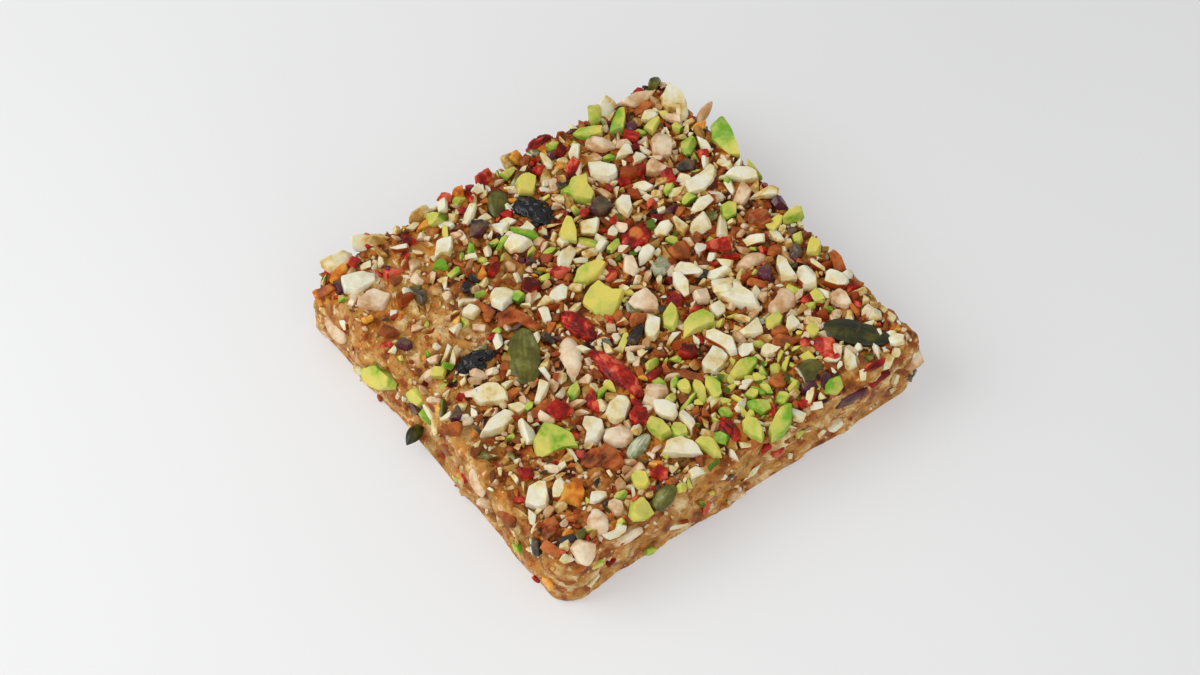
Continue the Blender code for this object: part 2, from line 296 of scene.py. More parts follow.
@dataclass(frozen=True)
class Globe:
    """Directions on a grid of rings and sides round a ball, closed by a point at each pole."""

    sides: int
    rings: int
    pole: int = 2

    def angles(self) -> tuple[Array, Array]:
        """Angles of the ring points and then of the two poles.

        Returns:
            Angle from the pole and angle round it.
        """
        down = np.pi * np.arange(1, self.rings + 1) / (self.rings + 1)
        down, turn = np.meshgrid(down, 2 * np.pi * np.arange(self.sides) / self.sides, indexing="ij")
        return np.append(down.ravel(), (0, np.pi)), np.append(turn.ravel(), (0, 0))

    def ways(self) -> Array:
        """Directions: the cosine of the angle from the pole along it, and its sine round it.

        Returns:
            One unit direction per point.
        """
        down, turn = self.angles()
        ways = np.zeros((len(down), 3))
        ways[:, self.pole] = np.cos(down)
        ways[:, (self.pole + 1) % 3] = np.sin(down) * np.cos(turn)
        ways[:, (self.pole + 2) % 3] = np.sin(down) * np.sin(turn)
        return ways

    def faces(self) -> tuple[Array, Array]:
        """Joins the points into faces that look outwards.

        Returns:
            Quads between the rings, and triangles at the poles.
        """
        ids = np.arange(self.rings * self.sides).reshape(self.rings, self.sides)
        after = np.roll(ids, -1, axis=1)
        quads = np.stack((ids[:-1], ids[1:], after[1:], after[:-1]), axis=-1).reshape(-1, 4)
        top, foot = ids.size, ids.size + 1
        caps = [
            np.column_stack((np.full(self.sides, top), ids[0], after[0])),
            np.column_stack((np.full(self.sides, foot), after[-1], ids[-1])),
        ]
        return quads, np.concatenate(caps)


def joined(globe: Globe, points: Array, values: dict[str, Array], lie: Array | None) -> Skin:
    """One skin from many bodies on the same grid.

    Args:
        globe: the grid that every body has.
        points: one row of points per body.
        values: one row of values per body.
        lie: one row of map coordinates per body, or None.

    Returns:
        The joined skin.
    """
    count, each = points.shape[:2]
    quads, tris = globe.faces()
    step = (np.arange(count) * each)[:, None, None]
    return Skin(
        points.reshape(-1, 3),
        (quads[None] + step).reshape(-1, 4),
        (tris[None] + step).reshape(-1, 3),
        {key: np.broadcast_to(value, (count, each)).reshape(-1) for key, value in values.items()},
        None if lie is None else lie.reshape(-1, 2),
    )


@dataclass(frozen=True)
class Plate:
    """Grid of a broken plate: a loop of straight edges between corners, seen from above, in rings from
    the middle of its upper face over its rim to the middle of its underside."""

    corners: int = 6
    steps: int = 4
    tight: float = 0.12
    upper: tuple[float, ...] = (0.3, 0.62, 0.9)
    lower: tuple[float, ...] = (0.8, 0.4)
    ease: float = 0.5
    round_off: float = 0.1
    edge_drop: float = 0.07
    rim_gap: float = 0.06
    foot_level: float = -0.42

    @property
    def globe(self) -> Globe:
        """The grid that its points fill."""
        return Globe(self.corners * self.steps, len(self.upper) + 3 + len(self.lower))

    def loop(self, corners: Array) -> Array:
        """Points along the straight edges between corners, each corner eased a little.

        Args:
            corners: (bodies, corners, 2).

        Returns:
            Points, (bodies, corners times steps, 2).
        """
        share = np.append(0, np.linspace(self.tight, 1 - self.tight, self.steps - 1))[:, None]
        after = np.roll(corners, -1, axis=1)
        loop = corners[:, :, None] * (1 - share) + after[:, :, None] * share
        beside = (loop[:, :, 1] + np.roll(loop[:, :, -1], 1, axis=1)) / 2
        loop[:, :, 0] += (beside - loop[:, :, 0]) * self.ease
        return loop.reshape(len(corners), -1, 2)

    def solid(self, corners: Array, rng: np.random.RandomState) -> tuple[Array, Array]:
        """Raises the loops into plates half a unit up and down with slanted rims and cut upper faces.

        The rim is widest part of the way up. Its upper and lower edges are drawn in by their own share
        at each corner. The upper face is the lowest of a tipped plane and two slanting cuts.

        Args:
            corners: (bodies, corners, 2), about half a unit from the middle.
            rng: draws the slants, tips and cuts.

        Returns:
            Points, (bodies, points, 3), and which points lie on the rim, (points,).
        """
        count = len(corners)
        middle = self.loop(corners)
        over = self.loop(corners * (1 - rng.uniform(0, 0.2, (*corners.shape[:2], 1))))
        under = self.loop(corners * (1 - rng.uniform(0.05, 0.35, (*corners.shape[:2], 1))))
        tip = rng.normal(0, 0.16, (count, 1, 2))
        angle = rng.uniform(0, 2 * np.pi, (count, 2))
        cut = np.stack((np.cos(angle), np.sin(angle)), axis=-1)
        start = rng.uniform(0.16, 0.46, (count, 1, 2))
        steep = rng.uniform(0.1, 1.3, (count, 1, 2))

        def top(place: Array) -> Array:
            """Height of the upper face."""
            slope = np.einsum("bpc,bkc->bpk", place, cut) - start
            return 0.5 + (place * tip).sum(axis=-1) - (np.maximum(slope, 0) * steep).max(axis=-1)

        level = rng.uniform(-0.2, 0.15, (count, 1))
        rings = [np.dstack((over * share, top(over * share))) for share in self.upper]
        edge = over * (1 - self.round_off) + middle * self.round_off
        rings.append(np.dstack((edge, top(edge) - self.edge_drop)))
        widest = np.minimum(level, rings[-1][..., 2] - self.rim_gap)
        rings.append(np.dstack((middle, widest)))
        foot = under * (1 - self.round_off) + middle * self.round_off
        rings.append(np.dstack((foot, np.minimum(widest - self.rim_gap, self.foot_level))))
        rings += [np.dstack((under * s, np.full(under.shape[:2], -0.5))) for s in self.lower]
        heart = np.zeros((count, 1, 2))
        poles = [np.dstack((heart, top(heart))), np.dstack((heart, np.full((count, 1), -0.5)))]
        rim = np.zeros(len(rings))
        rim[len(self.upper) : len(self.upper) + 3] = 1
        return np.concatenate(rings + poles, axis=1), np.append(np.repeat(rim, middle.shape[1]), (0, 0))

    def random_corners(self, count: int, rng: np.random.RandomState) -> Array:
        """Irregular outlines: corners at shaken angles on a rounded square, some of them dropped back
        to the line between their neighbours or a little inside it.

        Args:
            count: number of outlines.
            rng: source of the draws.

        Returns:
            Corners within a unit square, (count, corners, 2).
        """
        turn = np.arange(self.corners) + rng.uniform(-0.34, 0.34, (count, self.corners))
        turn = 2 * np.pi * turn / self.corners
        square = 1 / np.maximum(np.abs(np.cos(turn)), np.abs(np.sin(turn)))
        reach = (0.45 + 0.55 * square) * rng.uniform(0.8, 1.0, turn.shape)
        corners = np.stack((np.cos(turn), np.sin(turn)), axis=-1) * reach[..., None]
        chord = (np.roll(corners, 1, axis=1) + np.roll(corners, -1, axis=1)) / 2
        drop = rng.uniform(0.6, 1.1, (count, self.corners, 1))
        drop *= rng.uniform(size=(count, self.corners, 1)) < 0.3
        corners = corners + (chord - corners) * drop
        middle = (corners.max(axis=1) + corners.min(axis=1))[:, None] / 2
        return (corners - middle) / np.ptp(corners, axis=1)[:, None]


# ---- Finishes ----


def linear(colour: Colour) -> tuple[float, float, float, float]:
    """A colour of 0 to 255 a channel as the shader's linear values."""
    share = [c / 255 for c in colour]
    return (*[s / 12.92 if s <= 0.04045 else ((s + 0.055) / 1.055) ** 2.4 for s in share], 1.0)


class Graph:
    """A material's node tree with short calls for the nodes that the finishes use."""

    WEAK_SHINE = 0.12

    def __init__(self, name: str) -> None:
        """Starts a material with a Principled shader.

        Args:
            name: name of the material.
        """
        self.material = bpy.data.materials.new(name)
        self.material.use_nodes = True
        self.tree = self.material.node_tree
        self.shader = self.tree.nodes["Principled BSDF"]
        self.place = self.tree.nodes.new("ShaderNodeTexCoord").outputs["Object"]

    def add(self, kind: str, inputs: dict, **settings) -> bpy.types.Node:
        """Adds a node.

        Args:
            kind: its type.
            inputs: values or links for its inputs.
            settings: its options.

        Returns:
            The node.
        """
        node = self.tree.nodes.new(kind)
        for key, value in settings.items():
            setattr(node, key, value)
        for key, value in inputs.items():
            if isinstance(value, Socket):
                self.tree.links.new(value, node.inputs[key])
            else:
                node.inputs[key].default_value = value
        return node

    def fill(self, key: str, value: Socket | float | tuple[float, ...]) -> None:
        """Sets or links one of the shader's inputs.

        Args:
            key: name of the input.
            value: a value or a link.
        """
        if isinstance(value, Socket):
            self.tree.links.new(value, self.shader.inputs[key])
        else:
            self.shader.inputs[key].default_value = value

    def noise(self, size: float, detail: float = 3.0, warp: float = 0.0) -> Socket:
        """Noise with features about `size` millimetres wide."""
        inputs = {"Vector": self.place, "Scale": 1 / (size * MM), "Detail": detail, "Distortion": warp}
        return self.add("ShaderNodeTexNoise", inputs).outputs["Fac"]

    def grains(self, size: float) -> Socket:
        """Distance to the nearest grain, with grains about `size` millimetres apart."""
        inputs = {"Vector": self.place, "Scale": 1 / (size * MM)}
        return self.add("ShaderNodeTexVoronoi", inputs).outputs["Distance"]

    def value(self, name: str) -> Socket:
        """A value carried at the mesh's points."""
        return self.add("ShaderNodeAttribute", {}, attribute_name=name).outputs["Fac"]

    def span(
        self, value: Socket, low: float, high: float, to_low: float = 0.0, to_high: float = 1.0
    ) -> Socket:
        """Maps a range of a value smoothly onto another."""
        inputs = {"Value": value, "From Min": low, "From Max": high, "To Min": to_low, "To Max": to_high}
        return self.add("ShaderNodeMapRange", inputs, interpolation_type="SMOOTHSTEP").outputs["Result"]

    def ramp(self, value: Socket, stops: tuple[tuple[float, Colour], ...]) -> Socket:
        """Turns a value into a colour.

        Args:
            value: where the ramp is read.
            stops: places on the ramp and their colours.

        Returns:
            The colour.
        """
        node = self.add("ShaderNodeValToRGB", {"Fac": value})
        while len(node.color_ramp.elements) < len(stops):
            node.color_ramp.elements.new(0.5)
        for element, (place, colour) in zip(node.color_ramp.elements, stops):
            element.position = place
            element.color = linear(colour)
        return node.outputs["Color"]

    def mix(self, share: Socket, below: Socket, above: Socket | Colour) -> Socket:
        """Blends two colours.

        Args:
            share: how much of the second one shows.
            below: the first colour.
            above: the second colour.

        Returns:
            The blend.
        """
        node = self.add("ShaderNodeMix", {}, data_type="RGBA")
        for socket, value in zip((node.inputs[0], node.inputs[6], node.inputs[7]), (share, below, above)):
            if isinstance(value, Socket):
                self.tree.links.new(value, socket)
            else:
                socket.default_value = linear(value)
        return node.outputs[2]

    def plus(self, one: Socket, two: Socket) -> Socket:
        """The sum of two values."""
        return self.add("ShaderNodeMath", {0: one, 1: two}, operation="ADD").outputs["Value"]

    def times(self, one: Socket, two: Socket | float) -> Socket:
        """The product of two values."""
        return self.add("ShaderNodeMath", {0: one, 1: two}, operation="MULTIPLY").outputs["Value"]

    def shorten(self, parts: tuple[float, float, float]) -> None:
        """Divides the lengths of every later pattern along x, y and z by `parts`."""
        node = self.add("ShaderNodeVectorMath", {0: self.place, 1: parts}, operation="MULTIPLY")
        self.place = node.outputs[0]

    def wet(self, coat: float, rough: float) -> None:
        """Lays a thin clear film over a surface that reflects weakly itself.

        Args:
            coat: how much the film shows, from 0 to 1.
            rough: roughness of the film.
        """
        self.fill("Specular IOR Level", self.WEAK_SHINE)
        self.fill("Coat Weight", coat)
        self.fill("Coat Roughness", rough)

    def bump(self, height: Socket, depth: float) -> None:
        """Adds relief `depth` millimetres deep to the shader."""
        inputs = {"Height": height, "Distance": depth * MM, "Strength": 1.0}
        self.fill("Normal", self.add("ShaderNodeBump", inputs).outputs["Normal"])

    def flesh(self, weight: float, reach: tuple[float, float, float]) -> None:
        """Lets light pass a little way in.

        Args:
            weight: share of the light that passes in.
            reach: how far red, green and blue go, in millimetres.
        """
        self.fill("Subsurface Weight", weight)
        self.fill("Subsurface Radius", reach)
        self.fill("Subsurface Scale", MM)


@dataclass(frozen=True)
class DoughFinish:
    """Sticky ground fruit and nut: patched tan and gold where it is bare, dark red-brown fruit under the
    chips with painted shade in the gaps between them, painted shade in pits and hollows, pale flecks, amber
    and olive spots and a moist film."""

    # deep is the darkest tan, and also the colour of the painted shade in the pits and hollows.
    deep: Colour = (116, 58, 16)
    rust: Colour = (152, 82, 28)
    middle: Colour = (182, 124, 58)
    gold: Colour = (200, 146, 70)
    pale: Colour = (216, 178, 118)
    fruit: Colour = (138, 40, 16)
    amber: Colour = (206, 124, 24)
    olive: Colour = (150, 120, 46)
    fleck: Colour = (236, 214, 160)
    # The next three colours are dark fruit paste under and between the chips; the darker ones also paint the
    # shade in the gaps, and the first also the dark specks.
    dark_speck_and_shade: Colour = (44, 12, 1)
    under: Colour = (88, 31, 4)
    under_pale: Colour = (184, 112, 38)

    def build(self, name: str) -> bpy.types.Material:
        """Makes the material: each ground grain has its own colour, darker along the seams between.

        Args:
            name: its name.

        Returns:
            The material.
        """
        g = Graph(name)
        g.shorten((1.0, 1.0, 1.25))
        cover = g.span(g.value("cover"), 0.1, 0.9)
        swell = g.span(g.noise(5.4, 3.0), 0.3, 0.7, -0.1, 0.5)
        shade = g.plus(g.times(g.value("grit"), 0.6), swell)
        tans = (self.deep, self.rust, self.middle, self.gold, self.pale, self.fleck)
        tan = g.ramp(shade, tuple(zip((0.0, 0.22, 0.4, 0.6, 0.78, 1.0), tans)))
        # Under the chips: dark fruit paste, whose darkest stops are painted shade in the gaps between the
        # chips.
        browns = ((0.37, self.dark_speck_and_shade), (0.46, self.under), (0.58, self.under_pale))
        brown = g.ramp(g.noise(2.0, 4.0, warp=0.3), browns)
        base = g.mix(cover, tan, brown)
        base = g.mix(g.span(g.noise(3.8, 3.0), 0.56, 0.66, 0, 0.45), base, self.olive)
        base = g.mix(g.span(g.noise(2.6, 3.0, warp=0.2), 0.58, 0.65, 0, 0.7), base, self.fruit)
        base = g.mix(g.span(g.noise(3.4, 2.0), 0.58, 0.68, 0, 0.6), base, self.amber)
        base = g.mix(g.span(g.noise(1.7, 2.0), 0.62, 0.68, 0, 0.7), base, self.fleck)
        # Dark specks, stronger under the chips, where they also paint the shade in the gaps.
        dark = g.times(g.span(g.noise(1.6, 2.0), 0.31, 0.37, 0.75, 0), g.span(cover, 0, 1, 0.2, 1))
        base = g.mix(dark, base, self.dark_speck_and_shade)
        base = g.mix(g.span(g.value("seam"), 0.0, 1.0, 0, 0.25), base, self.rust)
        # Painted shade: pits and low places darkened towards the deep colour.
        hollow_shade = g.span(g.value("hollow_shade"), 0.0, 1.0, 0, 0.8)
        g.fill("Base Color", g.mix(hollow_shade, base, self.deep))
        g.fill("Roughness", g.span(g.noise(2.2, 2.0), 0.35, 0.65, 0.24, 0.5))
        g.wet(0.08, 0.12)
        g.flesh(0.14, (1.2, 0.5, 0.2))
        g.bump(g.plus(g.noise(1.0, 3.0), g.span(g.grains(0.8), 0, 0.5)), 0.22)
        return g.material


@dataclass(frozen=True)
class BitFinish:
    """A topping's finish: its colour follows the piece's tone, with patches, skin and fine grain."""

    tones: tuple[tuple[float, Colour], ...]
    patch: Colour
    patch_share: float = 0.25
    swing: float = 0.8
    skin: Colour = (150, 88, 54)
    coat: float = 0.1
    dull: float = 0.55
    shine: float = 0.42
    grain: float = 0.5
    relief: float = 0.08
    flesh: float = 0.15
    reach: tuple[float, float, float] = (1.0, 0.6, 0.3)
    lines: float = 0.0

    def build(self, name: str) -> bpy.types.Material:
        """Makes the material.

        Args:
            name: its name.

        Returns:
            The material.
        """
        g = Graph(name)
        swell = g.span(g.noise(3.4, 1.0, warp=0.2), 0.25, 0.75, -self.swing / 2, self.swing / 2)
        fine = g.span(g.noise(0.9, 2.0), 0.25, 0.75, -self.swing / 4, self.swing / 4)
        base = g.ramp(g.plus(g.value("tone"), g.plus(swell, fine)), self.tones)
        patches = g.span(g.noise(2.2, 3.0, warp=0.5), 0.45, 0.72, 0, self.patch_share)
        base = g.mix(patches, base, self.patch)
        mottle = g.span(g.noise(0.7, 2.0), 0.3, 0.7, 0.35, 0)
        base = g.mix(g.times(mottle, self.patch_share), base, self.patch)
        height = g.noise(self.grain, 3.0)
        if self.lines:
            lie = g.add("ShaderNodeUVMap", {}, uv_map="lie").outputs["UV"]
            stretched = g.add("ShaderNodeVectorMath", {0: lie, 1: (1.6, self.lines, 1)}, operation="MULTIPLY")
            inputs = {"Vector": stretched.outputs[0], "Scale": 1.0, "Detail": 2.0}
            ridges = g.add("ShaderNodeTexNoise", inputs).outputs["Fac"]
            base = g.mix(g.span(ridges, 0.4, 0.6, 0, 0.5), base, self.patch)
            height = g.plus(height, g.times(ridges, 2.0))
        base = g.mix(g.value("skin"), base, self.skin)
        g.fill("Base Color", base)
        g.fill("Roughness", g.span(g.noise(1.1, 2.0), 0.35, 0.65, self.shine, self.dull))
        g.wet(self.coat, 0.22)
        g.flesh(self.flesh, self.reach)
        g.bump(height, self.relief)
        return g.material


# ---- The dough ----


@dataclass(frozen=True)
class BareFields:
    """Parts of the top where the dough lies open: x, y and reach each way of each one."""

    fields: Rows = (
        (-36, 22, 13, 16),
        (-42, -10, 7, 22),
        (-28, -33, 4, 4),
        (-9, -42, 10, 3),
        (-27, 12, 6, 6),
        (38, -42, 8, 3),
        (27, -40, 6, 3),
        (-24, 32, 9, 6),
        (-14, 18, 6, 4),
    )

    def cover(self, place: Array) -> Array:
        """Share of chips kept: 1 less a bell curve for each bare field.

        Args:
            place: x and y, one place per row.

        Returns:
            The share at each place.
        """
        share = np.ones(len(place))
        for x, y, wide, long in self.fields:
            share *= 1 - 0.93 * np.exp(-(((place[:, 0] - x) / wide) ** 2) - ((place[:, 1] - y) / long) ** 2)
        return share


@dataclass(frozen=True)
class SlabForm:
    """The pressed slab: a box with rounded corners and edges, swelled and pushed as the CAD slab is."""

    size: tuple[float, float, float] = (87.0, 84.2, 15.0)
    centre: tuple[float, float] = (-0.5, -0.3)
    corner: float = 4.4
    crest: float = 2.5
    foot: float = 1.0
    core_depth: float = 8.0
    swell: float = 0.42
    swell_length: float = 19.0
    swell_waves: int = 14
    swell_seed: int = 5
    pushes: Rows = (
        (-43, 6, 15, 6.5, -3.4),
        (-44, 0.5, 3, 6, -1.3),
        (-44, 14, 1.5, 4, -0.9),
        (-44, 22.5, 5, 5.5, 1.1),
        (-44, 37, 6, 4.5, 0.9),
        (-43, 37, 15, 7, -1.6),
        (-44, -9.5, 3, 3.5, 0.8),
        (-44, -17.5, 8, 4, 1.3),
        (-43.5, -31, 4, 4.5, 0.8),
        (-43, -42, 12, 4, 0.7),
        (-39.5, -42.5, 12.5, 2.5, -0.9),
        (-22, -42, 4, 5, 0.8),
        (3, -42, 3, 5, -0.3),
        (15, -42, 2, 4, -0.5),
        (31, -42, 8, 7, 0.5),
        (41, -40, 9, 5, 0.5),
        (43, -15, 8, 5, -0.5),
        (43, 22, 9, 6, 0.7),
        (13, 41.5, 9, 6, 1),
        (-6, 41.5, 9, 5, -0.6),
        (-40, -32, 15, 6, -0.8),
        (-30, -12, 15, 5, -0.4),
        (-35, 16, 15, 8, 0.3),
        (20, 2, 15, 7, -0.4),
    )

    def rise(self, points: Array) -> Array:
        """How far the skin moves outward: swells from plane waves, plus a bell curve round each push.

        Args:
            points: points of the rounded box, one per row.

        Returns:
            The move of each point.
        """
        move = self.swell * waves(points, self.swell_length, self.swell_waves, self.swell_seed)
        for x, y, z, reach, push in self.pushes:
            distance = np.linalg.norm(points - np.array((x, y, z)), axis=-1) / reach
            move = move + push * np.exp(-(distance**2))
        return move

    def outward(self, points: Array, depth: float) -> Array:
        """Ways from the nearest point of a core box inside the slab.

        Args:
            points: one point per row.
            depth: how deep inside the slab the core box lies.

        Returns:
            One unit way per point.
        """
        middle = np.array((*self.centre, 0.0))
        length, width, height = self.size
        reach = np.array((length / 2 - depth, width / 2 - depth, height - depth))
        ways = points - (middle + np.clip(points - middle, -reach, reach))
        return ways / np.maximum(np.linalg.norm(ways, axis=-1, keepdims=True), 1e-9)

    def rounded(self, points: Array) -> Array:
        """Rounds the box. A corner square with sides a, b maps onto its disc: both are scaled by the
        larger of a and b over their root sum of squares. It is done in plan for the corners, and then on
        the distance in from the outline and the height for the crest and the foot.

        Args:
            points: points of the plain box, one per row.

        Returns:
            The same points on the rounded box.
        """
        middle = np.array(self.centre)
        half = np.array(self.size[:2]) / 2
        plan = points[:, :2] - middle
        inner = np.clip(plan, self.corner - half, half - self.corner)
        over = plan - inner
        reach = np.linalg.norm(over, axis=1)
        larger = np.abs(over).max(axis=1)
        way = over / np.maximum(reach, 1e-9)[:, None]
        height = points[:, 2].copy()
        for radius, level, side in ((self.crest, self.size[2], 1.0), (self.foot, 0.0, -1.0)):
            a = np.clip(larger - (self.corner - radius), 0, radius)
            b = np.clip((height - level) * side + radius, 0, radius)
            scale = np.maximum(a, b) / np.maximum(np.hypot(a, b), 1e-9)
            near = (a > 0) & (b > 0)
            larger = np.where(near, self.corner - radius + a * scale, larger)
            height = np.where(near, level + side * (b * scale - radius), height)
        return np.column_stack((middle + inner + way * larger[:, None], height))

    def skin(self, box: Array) -> tuple[Array, Array]:
        """Presses the skin into its form.

        Args:
            box: points of the plain box, one per row.

        Returns:
            The points on the pressed skin, and the unit ways that stand off it.
        """
        points = self.rounded(box)
        move = self.rise(points) * eased(points[:, 2], 0.0, self.foot)
        base = points + self.outward(points, self.core_depth) * move[:, None]
        return base, self.outward(points, self.crest)


@dataclass
class Dough:
    """The slab's fine skin, with lumps, drag marks, pits and the dough banked up round each topping.

    Each kind of relief has its width and its height. Drag marks and `flank` lumps are on the sides alone.
    """

    form: SlabForm
    finish: DoughFinish
    bare: BareFields
    step: float = 0.5
    lump: tuple[float, float] = (5.5, 0.5)
    grain: tuple[float, float] = (3.2, 0.4)
    bead: tuple[float, float] = (2.0, 0.45)
    pit: tuple[float, float] = (2.6, 0.6)
    fine: tuple[float, float] = (1.1, 0.14)
    drag: tuple[float, float] = (2.4, 0.2)
    flank: tuple[float, float] = (4.4, 0.45)
    sink: float = 0.25
    bank: float = 0.4
    foot_lift: float = 1.1

    def relief(self, points: Array, ways: Array) -> tuple[Array, dict[str, Array]]:
        """Fine relief along the skin's ways.

        Fractal lumps, rounded grains that stand out by the square of how near their middles are, pits
        where a few grains sink in, and on the sides noise drawn out level by the pressing.

        Args:
            points: points of the rounded box, one per row.
            ways: unit ways off the skin.

        Returns:
            Height at each point, and what the finish reads: how much painted shade darkens the hollows, the
            value of the grain and its seams.
        """
        lumps = fractal(points, self.lump[0], 11, 3)
        near, value = nearest_grain(points, self.grain[0], 21)
        grains = np.clip(1 - near**2 * 1.8, 0, 1) * (value > 0.35)
        bent = points + 0.5 * np.stack([soft_noise(points, 1.6, seed) for seed in (33, 34, 35)], axis=1)
        small, chosen = nearest_grain(bent, self.bead[0], 31)
        beads = np.clip(1 - small**2 * 2.2, 0, 1) * (chosen - 0.3)
        pit, few = nearest_grain(points, self.pit[0], 41)
        pits = np.clip(1 - (pit / 0.3) ** 2, 0, 1) * (few > 0.72)
        dragged = fractal(points * np.array((0.6, 0.6, 1.3)), self.drag[0], 51, 2)
        flank = fractal(points, self.flank[0], 13, 2)
        side = 1 - np.abs(ways[:, 2])
        fine = fractal(points, self.fine[0], 61, 2)
        height = self.lump[1] * lumps + self.grain[1] * grains + self.bead[1] * beads
        height = height - self.pit[1] * pits + self.fine[1] * fine
        height += side * (self.drag[1] * dragged + self.flank[1] * flank) - self.sink
        # Painted shade for the finish: how much darker the pits and the low places between lumps and grains
        # are.
        hollow_shade = eased(0.7 * pits - 0.45 * lumps - 0.5 * grains, 0.1, 0.9)
        return height, {"hollow_shade": hollow_shade, "grit": 0.7 * chosen + 0.3 * value, "seam": eased(small, 0.42, 0.7)}

    def build(self, nests: Array) -> bpy.types.Object:
        """Makes the dough.

        Args:
            nests: x, y, length, width and turn of each topping that the dough is banked round.

        Returns:
            The dough piece.
        """
        counts = tuple(round(size / self.step) for size in self.form.size)
        triples, quads = box_lattice(counts)
        box = triples / np.array(counts) * np.array(self.form.size)
        box[:, :2] += np.array(self.form.centre) - np.array(self.form.size[:2]) / 2
        points = self.form.rounded(box)
        base, ways = self.form.skin(box)
        under = points[:, 2] < 0.02
        height, values = self.relief(points, ways)
        height += self.banks(points, nests) * np.clip(ways[:, 2], 0, 1)
        foot = eased(points[:, 2], 0.0, 1.6)
        skin = base + ways * (height * foot)[:, None]
        half = np.array(self.form.size[:2]) / 2
        inward = (half - np.abs(box[:, :2] - np.array(self.form.centre))).min(axis=1)
        lifted = eased(fractal(box * (1, 1, 0), 8.0, 91, 2), 0.0, 0.8) * (1 - eased(inward, 0.0, 5.0))
        lifted = self.foot_lift * lifted * (1 - eased(points[:, 2], 0.0, 7.0))
        pressed = 0.22 * eased(fractal(points, 3.0, 71, 2), 0.1, 0.9) + 0.3 * eased(-height, 0.2, 0.6)
        skin[:, 2] = np.where(under, pressed, np.maximum(skin[:, 2], 0.0)) + lifted
        cover = self.cover(points) * eased(ways[:, 2], 0.2, 0.8)
        # The underside gets a little of the painted shade too.
        values |= {"hollow_shade": np.where(under, 0.25, values["hollow_shade"]), "cover": cover}
        made = Skin(skin, quads, values=values).to_object("dough_skin", "dough", self.finish.build("dough"))
        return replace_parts(made, "dough")

    def cover(self, points: Array) -> Array:
        """How thickly chips lie at each point, with a ragged border."""
        return eased(self.bare.cover(points[:, :2]) + 0.3 * fractal(points, 5.0, 81, 3), 0.35, 0.75)

    def banks(self, points: Array, nests: Array) -> Array:
        """Heaps dough up under and round the toppings: a flat-topped bell over the elliptic distance of
        each one, of which the highest counts.

        Args:
            points: points of the rounded box, one per row.
            nests: x, y, length, width and turn of each topping.

        Returns:
            Height at each point.
        """
        high = np.zeros(len(points))
        upper = np.flatnonzero(points[:, 2] > self.form.size[2] - 1.5)
        place = points[upper]
        best = np.zeros(len(upper))
        for x, y, length, width, turn in nests:
            along, across = from_middle(place, x, y, turn)
            far = np.hypot(along / (length / 2), across / (width / 2))
            best = np.maximum(best, np.exp(-((np.maximum(far - 0.9, 0) / 0.3) ** 2)) * min(1, width / 4))
        high[upper] = self.bank * best
        return high


# ---- Toppings in the places of the CAD nodes ----


@dataclass(frozen=True)
class Nest:
    """Where a CAD topping sits, in millimetres: its middle, its own axes, its size along them and its
    height straight up."""

    centre: Array
    axes: Array
    size: Array
    tall: float

    @classmethod
    def of(cls, node: str) -> "Nest":
        """Measures a CAD node: its axes are those of its points' spread, longest first.

        The long axis points to the slimmer end and the thin axis points up, or outwards on a side.

        Args:
            node: the node.

        Returns:
            Its nest.
        """
        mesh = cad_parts[node].data
        corners = np.zeros(len(mesh.vertices) * 3, np.float32)
        mesh.vertices.foreach_get("co", corners)
        points = np.unique((corners.reshape(-1, 3).astype(float) / MM).round(3), axis=0)
        spread, ways = np.linalg.eigh(np.cov((points - points.mean(axis=0)).T))
        axes = ways[:, np.argsort(spread)[::-1]]
        local = points @ axes
        middle = (local.max(axis=0) + local.min(axis=0)) / 2
        if local[:, 0].mean() > middle[0]:
            axes[:, 0] *= -1
        outward = points.mean(axis=0) * (0.02, 0.02, 0) + (0, 0, 1)
        if axes[:, 2] @ outward < 0:
            axes[:, 2] *= -1
        axes[:, 1] = np.cross(axes[:, 2], axes[:, 0])
        local = points @ axes
        middle = (local.max(axis=0) + local.min(axis=0)) / 2
        return cls(axes @ middle, axes, np.ptp(local, axis=0), np.ptp(points[:, 2]))

    def footprint(self) -> tuple[float, float, float, float, float]:
        """x, y, length, width and turn, for banking the dough round it."""
        turn = math.degrees(math.atan2(self.axes[1, 0], self.axes[0, 0]))
        return self.centre[0], self.centre[1], self.size[0], self.size[1], turn

    def framed(self, outline: Array, tip: Array) -> tuple["Nest", Array]:
        """The same place with axes along the bar, tipped a little, for a piece of a given outline.

        Args:
            outline: corners of the piece as x and y on the bar.
            tip: rise along x and along y.

        Returns:
            The nest that the outline just fills, and the outline fitted into a unit square,
            (1, corners, 2).
        """
        middle, size, corners = fitted(outline[None])
        up = np.array((-tip[0], -tip[1], 1.0)) / math.hypot(1.0, *tip)
        across = np.cross(up, (1.0, 0.0, 0.0))
        across /= np.linalg.norm(across)
        axes = np.column_stack((np.cross(across, up), across, up))
        nest = Nest(np.append(middle[0], self.centre[2]), axes, np.append(size[0], self.tall), self.tall)
        return nest, corners

    def placed(self, points: Array) -> Array:
        """Points in the nest's own axes carried to the bar."""
        return points @ self.axes.T + self.centre


